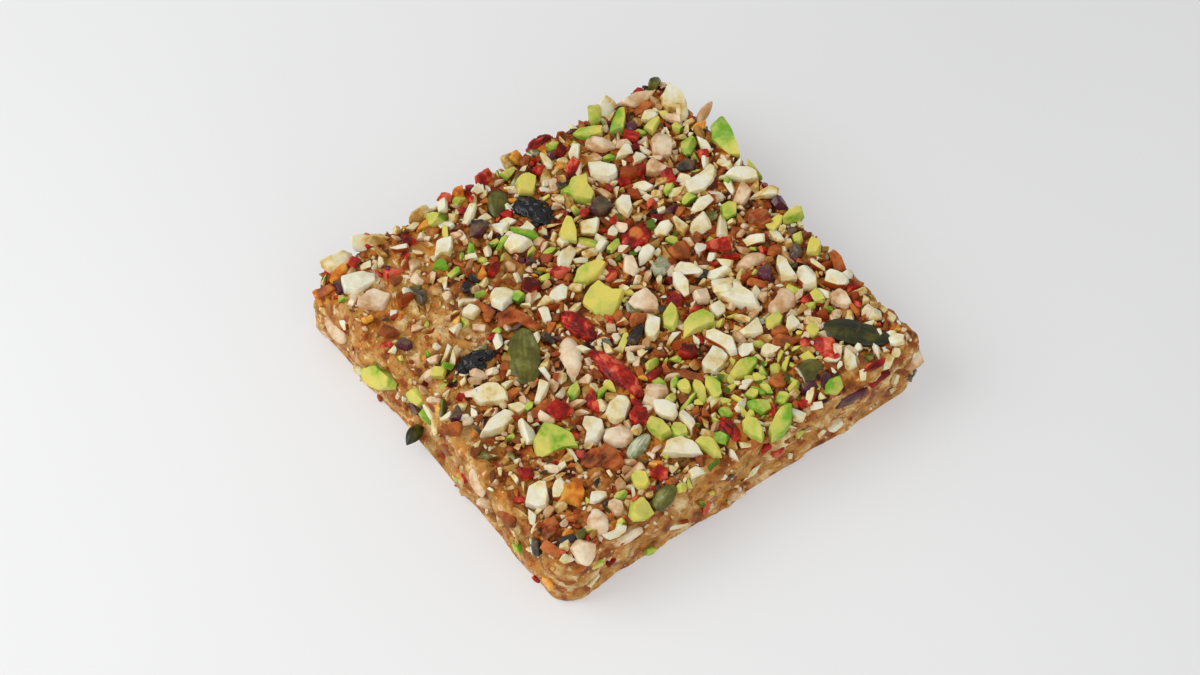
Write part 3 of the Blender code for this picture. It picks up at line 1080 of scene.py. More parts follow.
class Spindle(Enum):
    """Outlines of the rounded toppings along their length, as on the CAD solids.

    The width follows half a wave. Each outline has the power that shifts the wave's crest, the power
    that fills it out, its height, and how much of that it has lost at the far end.
    """

    SEED = (0.84, 0.43, 1.02, 0.1)
    LEAF = (1.0, 0.95, 1.0, 0.0)
    KERNEL = (0.9, 0.6, 1.03, 0.18)
    LONG_BERRY = (1.0, 0.5, 1.0, 0.0)
    ROUND_BERRY = (1.0, 0.46, 1.0, 0.0)

    def share(self, t: Array) -> Array:
        """How wide the body is along its length.

        Args:
            t: places from 0 to 1 along it.

        Returns:
            Share of the full width.
        """
        shift, fill, high, loss = self.value
        t = np.clip(t, 0, 1)
        return np.sin(np.pi * t**shift) ** fill * (high - loss * t)


@dataclass(frozen=True)
class Look:
    """How one named topping differs from others of its kind."""

    tone: float
    skin: float = 0.0
    cut: float | None = None
    fade: float = 0.25


@dataclass(frozen=True)
class Seat:
    """What a named topping is made in: its node's nest, its material slot and its material."""

    nest: Nest
    slot: str
    material: bpy.types.Material

    def fill(
        self, node: str, globe: Globe, points: Array, values: dict[str, Array], lie: Array,
        sharp: float = 0.0,
    ) -> bpy.types.Object:
        """Makes the piece that stands in a CAD node's place.

        Args:
            node: the node.
            globe: the grid of the body's points.
            points: the body's points in the nest's own axes.
            values: what is carried at each point.
            lie: the map coordinates of each point.
            sharp: edges turned by more degrees than this stay crisp, if it isn't 0.

        Returns:
            The finished piece.
        """
        rows = {key: value[None] for key, value in values.items()}
        skin = joined(globe, self.nest.placed(points)[None], rows, lie[None])
        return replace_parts(skin.to_object(f"{node}_piece", self.slot, self.material, sharp), node)


@dataclass(frozen=True)
class RoundTopping:
    """A seed, kernel or berry: ellipses along its length, `plump` times as wide as the node, then
    creases and fine relief. A `spot` bares the inner colour up to that far from its middle.

    Creases follow noise stretched along the body: its zero line makes a narrow furrow.
    """

    node: str
    outline: Spindle
    look: Look
    crease: float = 0.0
    crease_size: float = 1.6
    crease_stretch: float = 0.4
    lump: float = 0.03
    rim: float = 0.0
    plump: float = 1.0
    spot: float = 0.0
    sides: int = 48
    rings: int = 32

    def build(self, seat: Seat) -> bpy.types.Object:
        """Makes the piece in its node's place.

        Args:
            seat: what it is made in.

        Returns:
            The piece.
        """
        nest = seat.nest
        globe = Globe(self.sides, self.rings, pole=0)
        down, turn = globe.angles()
        along = 0.5 + 0.5 * np.cos(down)
        share = self.outline.share(along) * (np.sin(down) > 1e-6)
        half = nest.size / 2 * (1.0, self.plump, 1.0)
        points = np.column_stack(
            ((along - 0.5) * 2 * half[0], share * half[1] * np.cos(turn), share * half[2] * np.sin(turn))
        )
        seed = sum(ord(c) * (i + 1) for i, c in enumerate(self.node)) % 97
        shift = np.array((seed * 3.1, 0.0, 0.0))
        moved = points + shift
        stretched = moved * np.array((self.crease_stretch, 1.0, 1.0))
        fold = np.abs(fractal(stretched, self.crease_size, seed, 2))
        fine = np.abs(soft_noise(stretched, self.crease_size * 0.55, seed + 3))
        deep = 1 - self.crease * (np.clip(1 - fold / 0.4, 0, 1) ** 1.5 + 0.4 * np.clip(1 - fine / 0.4, 0, 1))
        swell = 1 + self.lump * fractal(moved, half[1] * 1.3, seed + 5, 2)
        flank = np.abs(np.cos(turn))
        edge = 1 + self.rim * eased(flank, 0.75, 0.98)
        points = points * np.column_stack((swell, deep * swell, deep * swell * edge))
        values = {"tone": np.full(len(points), self.look.tone), "skin": np.full(len(points), self.look.skin)}
        # Painted shade: the tone is darker in the creases.
        if self.crease:
            values["tone"] -= 0.3 * (1 - eased(deep, 1 - self.crease, 1))
        # Painted highlight and shade: lighter over the upper and lower faces, darker at the flanks, with a
        # random mottle.
        if self.rim:
            values["tone"] += 0.16 * (np.sin(turn) ** 2 - 0.5) + 0.16 * soft_noise(moved, half[1], seed + 9)
        if self.look.cut is not None:
            plane = self.look.cut * half[0]
            values["skin"] = eased(points[:, 0], plane - 0.2, plane)
            points[:, 0] = np.minimum(points[:, 0], plane + 0.12 * soft_noise(moved, 1.0, 3))
        if self.spot:
            off = np.linalg.norm((points @ nest.axes.T)[:, :2], axis=1) + 0.5 * soft_noise(moved, 1.0, seed)
            values["skin"] = 0.8 * (1 - eased(off, self.spot / 2, self.spot))
        return seat.fill(self.node, globe, points, values, np.column_stack((along, turn / (2 * np.pi))))


@dataclass(frozen=True)
class CutTopping:
    """A cut piece of nut, skin or fruit in its node's place: a broken plate with an uneven surface.

    `outline` gives the corners of its rim as x and y on the bar. Without one they are drawn at random.
    """

    RANDOM_CORNERS = 7

    node: str
    look: Look
    outline: Rows = ()
    rough: float = 0.22
    sharp: float = 32.0

    def build(self, seat: Seat) -> bpy.types.Object:
        """Makes the piece in its node's place.

        Args:
            seat: what it is made in.

        Returns:
            The piece.
        """
        nest = seat.nest
        rng = np.random.RandomState(sum(ord(c) * (i + 3) for i, c in enumerate(self.node)))
        fine = (0.12, 0.27, 0.42, 0.57, 0.72, 0.87, 0.96)
        plate = Plate(len(self.outline) or self.RANDOM_CORNERS, steps=8, tight=0.07, upper=fine)
        corners = plate.random_corners(1, rng)
        if self.outline:
            nest, corners = nest.framed(np.array(self.outline, float), rng.normal(0, 0.06, 2))
            seat = replace(seat, nest=nest)
        points, rim = plate.solid(corners, rng)
        points = points[0] * nest.size
        grain = points + rng.uniform(0, 50, 3)
        ways = points / np.maximum(np.linalg.norm(points, axis=1), 1e-6)[:, None]
        broken = fractal(grain, 2.6, 5, 3) - 0.6 * np.clip(fractal(grain, 1.7, 9, 2), 0, 1) ** 2
        points = points + ways * (self.rough * broken)[:, None]
        side = rng.uniform(0, 2 * np.pi)
        facing = ways[:, :2] @ (math.cos(side), math.sin(side))
        skin = eased(facing, 0.1, 0.3) * rim * self.look.skin
        tone = self.look.tone + self.look.fade * facing + 0.22 * rim
        values = {"tone": tone, "skin": skin}
        lie = points[:, :2] / nest.size[:2] + 0.5
        return seat.fill(self.node, plate.globe, points, values, lie, self.sharp)


def cut(node: str, look: Look, *corners: float, **manner: float) -> CutTopping:
    """A cut piece whose rim has the given corners: x and y of each in turn."""
    return CutTopping(node, look, tuple(zip(corners[::2], corners[1::2])), **manner)


# ---- Chips and crumbs between the large toppings ----


class Wall(Enum):
    """Sides of the bar: the axis that it faces along and the way it faces."""

    LEFT = (0, -1)
    RIGHT = (0, 1)
    FRONT = (1, -1)
    BACK = (1, 1)

    def box(self, form: SlabForm, along: Array, height: Array) -> Array:
        """Points of the plain box on this side.

        Args:
            form: the slab.
            along: place of each along the side.
            height: height of each.

        Returns:
            One point per row.
        """
        axis, way = self.value
        points = np.zeros((len(along), 3))
        points[:, axis] = form.centre[axis] + way * form.size[axis] / 2
        points[:, 1 - axis] = along
        points[:, 2] = height
        return points


@dataclass(frozen=True)
class Bedding:
    """How chips lie on one side of the bar: how much larger they are made than their row says, the least
    and the most thickness, what is added to that, and the share of it that stands out, plus a little."""

    oversize: float
    thinnest: float
    thickest: float
    extra: float
    standing: float
    lift: float


ON_TOP = Bedding(1.06, 1.0, 3.0, 0.4, 0.62, 0.25)
ON_WALL = Bedding(1.12, 1.0, 2.6, 0.0, 0.4, 0.0)
WALL_THICK = 0.6

# Beyond these places along x and y the top curves down to the far sides, and chips are thicker there.
FAR_CREST = (38.5, 38.0)
CREST_REACH = 3.0
CREST_EXTRA = 1.7


@dataclass
class Bits:
    """Places of many small pieces of one kind, one row each: a box point, length, width, thickness,
    turn in degrees, tone from 0 to 1 and how far the piece stands off the dough."""

    box: Array
    sizes: Array
    turn: Array
    tone: Array
    stand: Array

    @classmethod
    def bedded(
        cls, box: Array, table: Array, bedding: Bedding, thick: float, more: float | Array = 0.0
    ) -> "Bits":
        """Pieces at box points from a table whose columns 2 to 5 are length, width, turn and tone.

        Args:
            box: a point of the plain box for each piece.
            table: one row per piece.
            bedding: how they lie.
            thick: thickness as a share of the width.
            more: added to the thickness.

        Returns:
            The pieces.
        """
        deep = np.clip(table[:, 3] * thick + bedding.extra, bedding.thinnest, bedding.thickest) + more
        sizes = np.column_stack((table[:, 2:4] * bedding.oversize, deep))
        return cls(box, sizes, table[:, 4], table[:, 5], deep * bedding.standing + bedding.lift)

    @classmethod
    def on_top(cls, form: SlabForm, rows: Rows | Array, thick: float = 0.55) -> "Bits":
        """Pieces on the upper face.

        Args:
            form: the slab that they sit on.
            rows: x, y, length, width, turn and tone of each piece.
            thick: thickness as a share of the width.

        Returns:
            The pieces.
        """
        table = np.array(rows)
        box = np.column_stack((table[:, :2], np.full(len(table), form.size[2])))
        crest = eased((table[:, :2] - FAR_CREST).max(axis=1), 0.0, CREST_REACH)
        return cls.bedded(box, table, ON_TOP, thick, CREST_EXTRA * crest)

    @classmethod
    def cut(cls, form: SlabForm, outlines: Array, tones: Array) -> "Bits":
        """Pieces on the upper face that fill the given outlines, (pieces, corners, 2)."""
        middle, size, _ = fitted(outlines)
        return cls.on_top(form, np.column_stack((middle, size / ON_TOP.oversize, np.zeros(len(size)), tones)))

    @classmethod
    def on_wall(cls, form: SlabForm, wall: Wall, rows: Rows) -> "Bits":
        """Pieces on one side from rows of place along, height, length, width, turn and tone."""
        table = np.array(rows)
        return cls.bedded(wall.box(form, table[:, 0], table[:, 1]), table, ON_WALL, WALL_THICK)

    def __add__(self, other: "Bits") -> "Bits":
        """Both sets together."""
        pairs = ((getattr(self, k), getattr(other, k)) for k in ("box", "sizes", "turn", "tone", "stand"))
        return Bits(*(np.concatenate(pair) for pair in pairs))

    def footprints(self) -> Array:
        """x, y, length, width and turn of each piece."""
        return np.column_stack((self.box[:, :2], self.sizes[:, :2], self.turn))


@dataclass(frozen=True)
class Chopper:
    """Makes many broken plates at once and sets each in the skin of the dough."""

    plate: Plate
    seed: int
    lean: float = 0.26
    rough: float = 0.0
    lump: float = 1.8
    skinned: float = 0.0
    fade: float = 0.3

    def axes(self, form: SlabForm, bits: Bits, rng: np.random.RandomState) -> tuple[Array, Array]:
        """Where each piece sits and its own axes, which lean off the skin a little at random.

        On the top a piece's length lies at its turn from the bar's length. On a wall the turn is taken
        from the level line along the wall.

        Args:
            form: the slab that they sit on.
            bits: their places and sizes.
            rng: source of the draws.

        Returns:
            Middles, (pieces, 3), and axes, (pieces, 3, 3).
        """
        count = len(bits.turn)
        centre, skin = form.skin(bits.box)
        centre = centre + skin * (bits.stand - bits.sizes[:, 2] / 2)[:, None]
        up = skin + rng.normal(0, self.lean, (count, 3))
        up /= np.linalg.norm(up, axis=1)[:, None]
        cos, sin = np.cos(np.radians(bits.turn))[:, None], np.sin(np.radians(bits.turn))[:, None]
        level = np.cross((0.0, 0.0, 1.0), skin)
        level /= np.maximum(np.linalg.norm(level, axis=1), 1e-6)[:, None]
        upright = level * cos + np.array((0.0, 0.0, 1.0)) * sin
        flat = np.hstack((cos, sin, np.zeros_like(cos)))
        along = np.where(np.abs(skin[:, 2:]) > 0.35, flat, upright)
        across = np.cross(up, along)
        across /= np.linalg.norm(across, axis=1)[:, None]
        return centre, np.stack((np.cross(across, up), across, up), axis=1)

    def make(self, form: SlabForm, bits: Bits, corners: Array | None = None) -> Skin:
        """Makes the joined pieces.

        Args:
            form: the slab that they sit on.
            bits: their places and sizes.
            corners: their outlines within a unit square, or None for outlines drawn at random.

        Returns:
            One skin of them all, with their tone and which of their faces are outer skin.
        """
        rng = np.random.RandomState(self.seed)
        count = len(bits.turn)
        drawn = self.plate.random_corners(count, rng)
        shape, rim = self.plate.solid(drawn if corners is None else corners, rng)
        centre, axes = self.axes(form, bits, rng)
        points = np.einsum("bpk,bkc->bpc", shape * bits.sizes[:, None], axes)
        if self.rough:
            ways = points / np.maximum(np.linalg.norm(points, axis=-1, keepdims=True), 1e-6)
            grain = points + centre[:, None]
            points = points + ways * (self.rough * fractal(grain, self.lump, 7, 3))[..., None]
        side = rng.uniform(0, 2 * np.pi, count)
        facing = shape[..., 0] * np.cos(side)[:, None] + shape[..., 1] * np.sin(side)[:, None]
        skinned = (rng.uniform(size=count) < self.skinned)[:, None]
        whole = rng.uniform(size=(count, 1)) < 0.2 * self.skinned
        skin = np.maximum(eased(facing, 0.02, 0.16) * rim * skinned, whole)
        values = {"tone": bits.tone[:, None] + self.fade * facing + 0.24 * rim, "skin": skin}
        return joined(self.plate.globe, points + centre[:, None], values, None)


@dataclass(frozen=True)
class Crumbs:
    """Where crumbs lie: close together over most of the top, thinly in the bare fields, and never on a
    larger piece. Each row of sizes is the least and the most width and the pitch of the grid. Middles
    are at least `apart` times the two widths from each other. On the walls a share of a grid is kept."""

    form: SlabForm
    bare: BareFields
    sizes: Rows = ((2.1, 3.2, 2.5), (1.3, 2.2, 1.55), (0.7, 1.3, 1.2))
    shake: float = 0.4
    apart: float = 0.36
    wall_share: float = 0.2
    wall_pitch: tuple[float, float] = (2.1, 1.9)
    wall_edge: tuple[float, float] = (2.0, 1.6)
    wall_shake: float = 0.6
    wall_sizes: tuple[float, float] = (0.6, 1.9)
    seed: int = 17

    def thickness(self, place: Array) -> Array:
        """Share of crumbs kept at each place."""
        spots = np.column_stack((place, np.zeros(len(place))))
        return self.bare.cover(place) * (0.85 + 0.3 * soft_noise(spots, 7.0, self.seed))

    def grid(self, pitch: float, rng: np.random.RandomState) -> Array:
        """Places on a staggered grid over the top, each shaken a little.

        Args:
            pitch: distance between neighbours.
            rng: source of the draws.

        Returns:
            x and y, one place per row.
        """
        half = np.array(self.form.size[:2]) / 2 - 1.0
        x = np.arange(-half[0], half[0], pitch)
        y = np.arange(-half[1], half[1], pitch * math.sqrt(0.75))
        across, along = np.meshgrid(x, y)
        across = across + pitch / 2 * (np.arange(len(y)) % 2)[:, None]
        place = np.column_stack((across.ravel(), along.ravel()))
        return np.array(self.form.centre) + place + rng.normal(0, self.shake * pitch / 2, place.shape)

    def scatter(self, taken: Array) -> Array:
        """Lays the crumbs, largest first.

        Args:
            taken: x, y, length, width and turn of the pieces that lie there already.

        Returns:
            Box point and width of each crumb.
        """
        rng = np.random.RandomState(self.seed)
        kept = np.zeros((0, 3))
        for least, most, pitch in self.sizes:
            place = self.grid(pitch, rng)
            size = rng.uniform(least, most, len(place))
            keep = rng.uniform(size=len(place)) < self.thickness(place)
            keep &= self.clear_of(place, size, taken)
            rows = np.column_stack((place, size))[keep]
            gap = np.linalg.norm(rows[:, None, :2] - kept[None, :, :2], axis=-1)
            crowded = (gap < self.apart * (rows[:, None, 2] + kept[None, :, 2])).any(axis=1)
            kept = np.concatenate((kept, rows[~crowded]))
        upper = np.insert(kept, 2, self.form.size[2], axis=1)
        return np.concatenate([upper] + [self.on_wall(wall, rng) for wall in Wall])

    def on_wall(self, wall: Wall, rng: np.random.RandomState) -> Array:
        """Small crumbs pressed into one side, on a shaken grid of which a share of the places is kept.

        Args:
            wall: the side.
            rng: source of the draws.

        Returns:
            Box point and width of each crumb.
        """
        half = self.form.size[1 - wall.value[0]] / 2 - self.wall_edge[0]
        levels = np.arange(self.wall_edge[1], self.form.size[2] - self.wall_edge[1], self.wall_pitch[1])
        along, height = np.meshgrid(np.arange(-half, half, self.wall_pitch[0]), levels)
        along, height = (axis.ravel() + rng.normal(0, self.wall_shake, axis.size) for axis in (along, height))
        keep = rng.uniform(size=len(along)) < self.wall_share
        box = wall.box(self.form, along[keep], height[keep])
        return np.column_stack((box, rng.uniform(*self.wall_sizes, len(box))))

    def clear_of(self, place: Array, size: Array, taken: Array) -> Array:
        """Which crumbs lie clear of the ellipses of the larger pieces.

        Args:
            place: x and y of each crumb.
            size: width of each crumb.
            taken: x, y, length, width and turn of each larger piece.

        Returns:
            True for each crumb that lies clear.
        """
        clear = np.ones(len(place), bool)
        for x, y, length, width, turn in taken:
            along, across = from_middle(place, x, y, turn)
            clear &= np.hypot(along / (length / 2 + size * 0.05), across / (width / 2 + size * 0.05)) > 1
        return clear


# ---- Kinds of topping ----


@dataclass(frozen=True)
class Kind:
    """One kind of topping: its finish, its named pieces and its chips on the top and the walls.

    A row of `slices` is a slice's tone, and then x and y of each of its seven corners.
    """

    slot: str
    finish: BitFinish
    named: tuple[RoundTopping | CutTopping, ...]
    chips: Rows
    slices: Rows = ()
    walls: tuple[tuple[Wall, Rows], ...] = ()
    skinned: float = 0.0
    share: float = 0.0
    zones: Rows = ()
    on_walls: float = 0.4
    tones: tuple[float, float] = (0.2, 0.8)
    thick: float = 0.55
    rough: float = 0.12
    lump: float = 1.8
    sharp: float = 34.0
    fade: float = 0.35

    def weight(self, place: Array) -> Array:
        """This kind's share of the crumbs, larger round each zone (x, y, reach, times).

        Args:
            place: x and y, one place per row.

        Returns:
            The share at each place.
        """
        weight = np.full(len(place), self.share)
        for x, y, reach, times in self.zones:
            far = np.hypot(place[:, 0] - x, place[:, 1] - y) / reach
            weight += self.share * times * np.exp(-(far**2))
        return weight


ALMOND = Kind(
    slot="almond",
    finish=BitFinish(
        tones=((0.0, (234, 231, 208)), (0.45, (228, 214, 162)), (0.8, (204, 168, 96)), (1.0, (172, 124, 54))),
        patch=(212, 178, 116),
        skin=(150, 64, 20),
        swing=0.7,
        flesh=0.25,
    ),
    named=(
        cut("almond_1", Look(0.05), -40.7, 34, -39.6, 37, -37.6, 36.5, -34.8, 35.8, -32.6, 34.2, -34, 32.2,
            -38.6, 32.2),
        cut("almond_2", Look(0.35), -34.9, -0.1, -31.5, -0.5, -29.3, -2.4, -28.8, -4.6, -30, -6.5, -32, -6,
            -34.9, -3.8),
        cut("almond_3", Look(0.1), -39.3, -9.8, -35.8, -8, -31.8, -7.6, -30.5, -8.6, -31, -10.2, -35, -11.5,
            -37.4, -10.9),
        cut("almond_4", Look(0.1), 27.8, 12.6, 29, 15.8, 33, 15.9, 36.8, 17, 37.2, 15.4, 34.6, 12.2,
            31, 11.4),
        cut("almond_5", Look(0.1), 4, -23.4, 4.6, -21.6, 9, -19.4, 10.6, -20.6, 10.4, -23, 7.6, -24.8,
            5.4, -24.8),
        cut("almond_6", Look(0.15), -17.2, -19.4, -15.4, -18.4, -12.6, -17.6, -11, -18.8, -11.6, -20.6,
            -14.6, -23, -16.8, -22.4),
        cut("almond_7", Look(0.05), -41.4, -27.2, -38.4, -24.2, -36.2, -25, -35.2, -25.8, -36.8, -28.6,
            -38.4, -30.2, -39.8, -29.4),
        cut("almond_8", Look(0.1, skin=1), -14.4, -33.2, -12, -31.8, -9, -32.4, -7.4, -34.6, -7.6, -38.4,
            -10.6, -36.6),
        cut("almond_9", Look(0.1, skin=1), 31.8, -19, 32, -16, 34.2, -13.8, 36.2, -15, 36, -18, 34, -20.5),
        cut("almond_10", Look(0.1), 15.2, 28.4, 16.6, 31.2, 18.6, 29.8, 21, 26.6, 19.6, 25, 17.4, 24.8,
            15.6, 26.6),
        cut("almond_11", Look(0.15, skin=1), -24.8, -23.6, -22.8, -21.6, -22.2, -18.6, -20.2, -17.2,
            -18.6, -18, -18.2, -20.6, -19.2, -22.8, -22.2, -24.4),
        cut("almond_12", Look(0.1), -22.2, 29.2, -19, 33, -17.8, 32.8, -16, 31.8, -17, 29.6, -19, 28.2,
            -20, 29.6),
        cut("almond_13", Look(0.1), 15.2, 20.6, 17.6, 21.2, 18.8, 19.6, 17.2, 16.4, 14.8, 15.2, 14.4, 17.6),
        cut("almond_14", Look(0.15), 17.2, -10.6, 19, -8, 21, -8, 23.2, -9.6, 22.4, -12, 23.4, -15.4,
            22, -18, 19.6, -15.8),
        cut("almond_15", Look(0.2), 37.6, 34.4, 39, 36.6, 42.2, 38.4, 43.4, 35.4, 42.6, 32.2, 40.6, 31,
            38.2, 32.4),
    ),
    chips=(
        (-24.2, -8.3, 5, 4, 10, 0.1), (-18.8, -7.5, 3.6, 3.4, 0, 0.1), (-20.8, -5.5, 4, 1.8, 75, 0.2),
        (-6.5, 23, 5.5, 5, -45, 0.1), (7.5, 18.2, 5, 4, 20, 0.2), (-1, 14.8, 5.5, 3, 35, 0.1),
        (9.8, 14.3, 3, 3, 0, 0.2), (-7.8, 8.5, 5.2, 3.3, 0, 0.1), (-12.7, 6, 4, 2.5, 65, 0.1),
        (-17, 14, 5.5, 4.5, 30, 0.2), (-23.8, 15, 3.5, 3, 0, 0.2), (20, -9.4, 6, 4.5, 15, 0.3),
        (15.4, -12.6, 4, 3, 50, 0.2), (21, -6, 5, 3, -15, 0.1), (31.5, -3.8, 5, 3, -45, 0.1),
        (25.3, 5.8, 4.5, 4, 0, 0.2), (28.8, 9.2, 5, 3, 20, 0.1), (28.3, 2.6, 6, 2.5, 65, 0.2),
        (22.3, 7.7, 5, 3, 70, 0.5), (19, 9.3, 4, 3, 20, 0.2), (39.5, 3.5, 6.5, 2.5, -18, 0.5),
        (35.7, -5.3, 5.5, 1.8, 75, 0.2), (8.8, -30.2, 3.5, 2, 0, 0.1), (33.8, 34, 3.8, 3, 0, 0.3),
        (24, 29, 4.5, 3, 10, 0.1), (21.8, 24.5, 4, 3.5, 50, 0.2), (25.3, 26, 3.5, 2.5, 30, 0.1),
        (22, 20, 5, 2.2, -50, 0.2), (38.7, 21.8, 4, 2, 80, 0.1), (38.5, 15, 5, 2, 90, 0.2),
        (15.5, 34, 6, 2.5, 55, 0.1), (10.2, 36.5, 4.5, 2, 85, 0.2), (-9.5, 35, 5, 2.2, 38, 0.1),
        (-15.2, 35.3, 3.5, 2, -40, 0.2), (-7, 37.6, 2.5, 1.3, 0, 0.1), (-13, 39.4, 3.8, 2.8, 20, 0.2),
        (-5.2, 39.3, 3, 2.5, 0, 0.3), (-6.5, 28.5, 3.5, 3.5, 0, 0.1), (6.9, 27, 2.5, 2.2, 90, 0.2),
        (5.6, 30.7, 3, 1.5, -30, 0.1), (28.5, 41.2, 5, 3, 0, 0.2), (-37, 41.4, 7, 2.5, 12, 0.4),
        (-29, 41.2, 8, 2, 8, 0.3), (-18, 40.6, 5, 2.4, 0, 0.7), (4.3, 41.6, 4, 3, 60, 0.7),
        (-31.5, -14, 5.5, 3, 85, 0.1), (-35.3, -34.8, 3.5, 1.2, 45, 0.2), (-23.5, -37, 3, 1.2, 45, 0.1),
        (25.5, -35.6, 3.5, 1.2, -35, 0.1), (39, -32.5, 3, 2.5, 0, 0.2), (38.5, -39.5, 3.5, 3, 0, 0.2),
        (17, -40, 4, 1.8, 30, 0.2), (-31, -24.5, 3.5, 1.5, 20, 0.1), (-27.6, -24, 4.5, 1, 85, 0.1),
        (4.2, -13, 4, 1.5, 10, 0.1), (-12.7, 22.8, 2, 1.8, 0, 0.1), (-15.5, 17.6, 3.5, 1.2, 20, 0.2),
        (-16, 26, 2.5, 2, 0, 0.1), (-28, 1, 2, 1.4, 20, 0.2), (-33, 10, 4, 1.5, 45, 0.2),
        (-33.6, 12.6, 2, 1.4, 0, 0.3), (-41, 16.8, 2, 1.6, 10, 0.2), (-32.8, 25, 1.8, 1.5, 0, 0.3),
        (-30.6, 36, 2.2, 1.6, 70, 0.2), (-4.7, -6.6, 2.4, 1.8, 30, 0.1), (-5.2, -11.8, 2.6, 1.8, 80, 0.1),
        (-2.6, -12.4, 2.2, 1.6, 10, 0.2), (-11.3, -40.4, 3, 2, 0, 0.2), (5, -33.6, 4, 1.8, 20, 0.1),
        (23.5, -14.5, 3, 2.2, 60, 0.2), (36.6, -36.2, 2.6, 1.8, 20, 0.1), (1.2, 18.6, 3.2, 2.4, 40, 0.2),
        (14.6, 14.4, 2.6, 2, 10, 0.2), (33, 21.2, 2.6, 2, 30, 0.1),
    ),
    slices=(
        (0.1, 36.2, 12.2, 37.6, 12.6, 39.2, 12.4, 41.6, 10.4, 42, 8.4, 41, 7, 38.6, 8.2),
        (0, 9.6, 4.8, 10.6, 6.6, 12.6, 8, 14.4, 7.8, 14.6, 6, 12.8, 4.8, 11, 4.4),
        (0.1, 29.4, -15, 31, -11.4, 33.4, -9, 33.4, -12, 32.4, -15, 32, -17, 30.4, -16.4),
        (0.1, 12, -2.6, 13.6, -0.6, 14.8, -0.8, 15, -4.4, 13, -7.4, 11.8, -7, 11.8, -4.4),
        (0.1, 14, 0, 16.6, 0.8, 18, -0.6, 19, -4.2, 17.6, -4.2, 16, -3, 14.6, -2.2),
        (0.3, -0.4, -11, 0.4, -8.6, 2.4, -6.8, 4, -6.8, 4.6, -8.6, 2.8, -10.8, 0.8, -12),
        (0, -9.4, -25.2, -8.4, -23, -6.6, -24, -5.2, -26.4, -6, -28, -7.6, -28.8, -9, -27),
        (0.1, 9.2, -17, 10, -15.6, 11.6, -16.2, 13.4, -20.6, 12, -23.6, 10.6, -23.2, 9.8, -20),
        (0.1, 11.8, -24, 12.2, -22.6, 14, -22.4, 15.8, -23.6, 15, -25.2, 13, -25.6, 11.8, -25),
        (0.1, -6.8, -32.8, -6.2, -28.4, -5, -28.2, -4.6, -31, -5, -32.6, -6, -33.4, -7, -33.4),
        (0.1, 15, -19.6, 17.4, -19.6, 20.4, -19, 20, -21.2, 19, -22.6, 17, -22.2, 15.2, -21),
        (0.1, 22.8, -24.6, 24.6, -22.8, 26.2, -22.6, 26.4, -24.6, 26, -25.6, 24.4, -25.6, 23, -25.4),
        (0.1, 15.6, -26, 16.6, -25, 18, -25, 18.8, -27.2, 19.6, -28, 18, -28.4, 16, -27.6),
        (0.1, 35.6, -20.4, 37.6, -18.8, 38.6, -19, 40, -21.2, 40, -23.4, 38.4, -24, 37.2, -23.2),
        (0.2, 26.4, -38.6, 27.2, -37, 28.8, -35.2, 29.2, -36.4, 29.4, -38, 28.4, -40, 26.4, -39.8),
        (0.2, -36.6, -29.6, -35.6, -27.6, -33.6, -26.2, -32.4, -26.4, -32.4, -28, -33.6, -29.4,
            -35.6, -30.6),
        (0.1, -31.6, -34, -30, -32.6, -28.8, -33, -27.2, -34.2, -28, -35, -29.8, -35.2, -31, -34.8),
        (0.1, -33.4, -42.4, -33.8, -41, -31, -41.6, -29.8, -40.8, -28.6, -42, -29.4, -42.8, -31.4, -43),
    ),
    walls=(
        (Wall.FRONT, ((-29, 12.2, 4, 1.5, 10, 0.2), (-16.9, 5.5, 4, 3, 20, 0.1), (1, 6, 5, 1.2, 15, 0.3),
            (21.5, 5, 3.5, 2.5, 0, 0.1), (18, 5.2, 2.4, 2, 0, 0.2), (-37, 5, 3, 2, 40, 0.4),
            (36, 8, 2.6, 2, 10, 0.3), (9, 11.5, 3, 2, 0, 0.2), (-6, 11.8, 2.4, 1.8, 60, 0.3))),
        (Wall.LEFT, ((3, 12, 6, 2, 10, 0.1), (29.4, 13, 2.6, 2, 0, 0.1), (-34, 11, 3.4, 1.6, 60, 0.3),
            (-1, 11.5, 4.4, 3.2, 40, 0.2), (36, 10, 3, 2, 20, 0.4), (-22, 6, 2.4, 2, 0, 0.3),
            (24, 4, 2.4, 1.8, 10, 0.3))),
        (Wall.RIGHT, ((-30, 6, 3.4, 2.4, 20, 0.2), (-8, 9, 4, 2.6, 50, 0.1), (12, 5, 3, 2.2, 0, 0.3),
            (31, 8, 3.2, 2, 30, 0.2), (2, 12, 4, 2.2, 10, 0.1), (-20, 12, 3, 2.4, 0, 0.2))),
        (Wall.BACK, ((-33, 7, 3.2, 2.2, 0, 0.2), (-14, 10, 4, 2.4, 20, 0.1), (4, 5, 3, 2, 60, 0.3),
            (18, 9, 3.6, 2.4, 10, 0.2), (34, 6, 3, 2.4, 30, 0.1), (-24, 12, 3, 2, 0, 0.3))),
    ),
    skinned=0.5,
    share=0.5,
    on_walls=1.0,
    tones=(0.0, 0.95),
    thick=0.5,
)

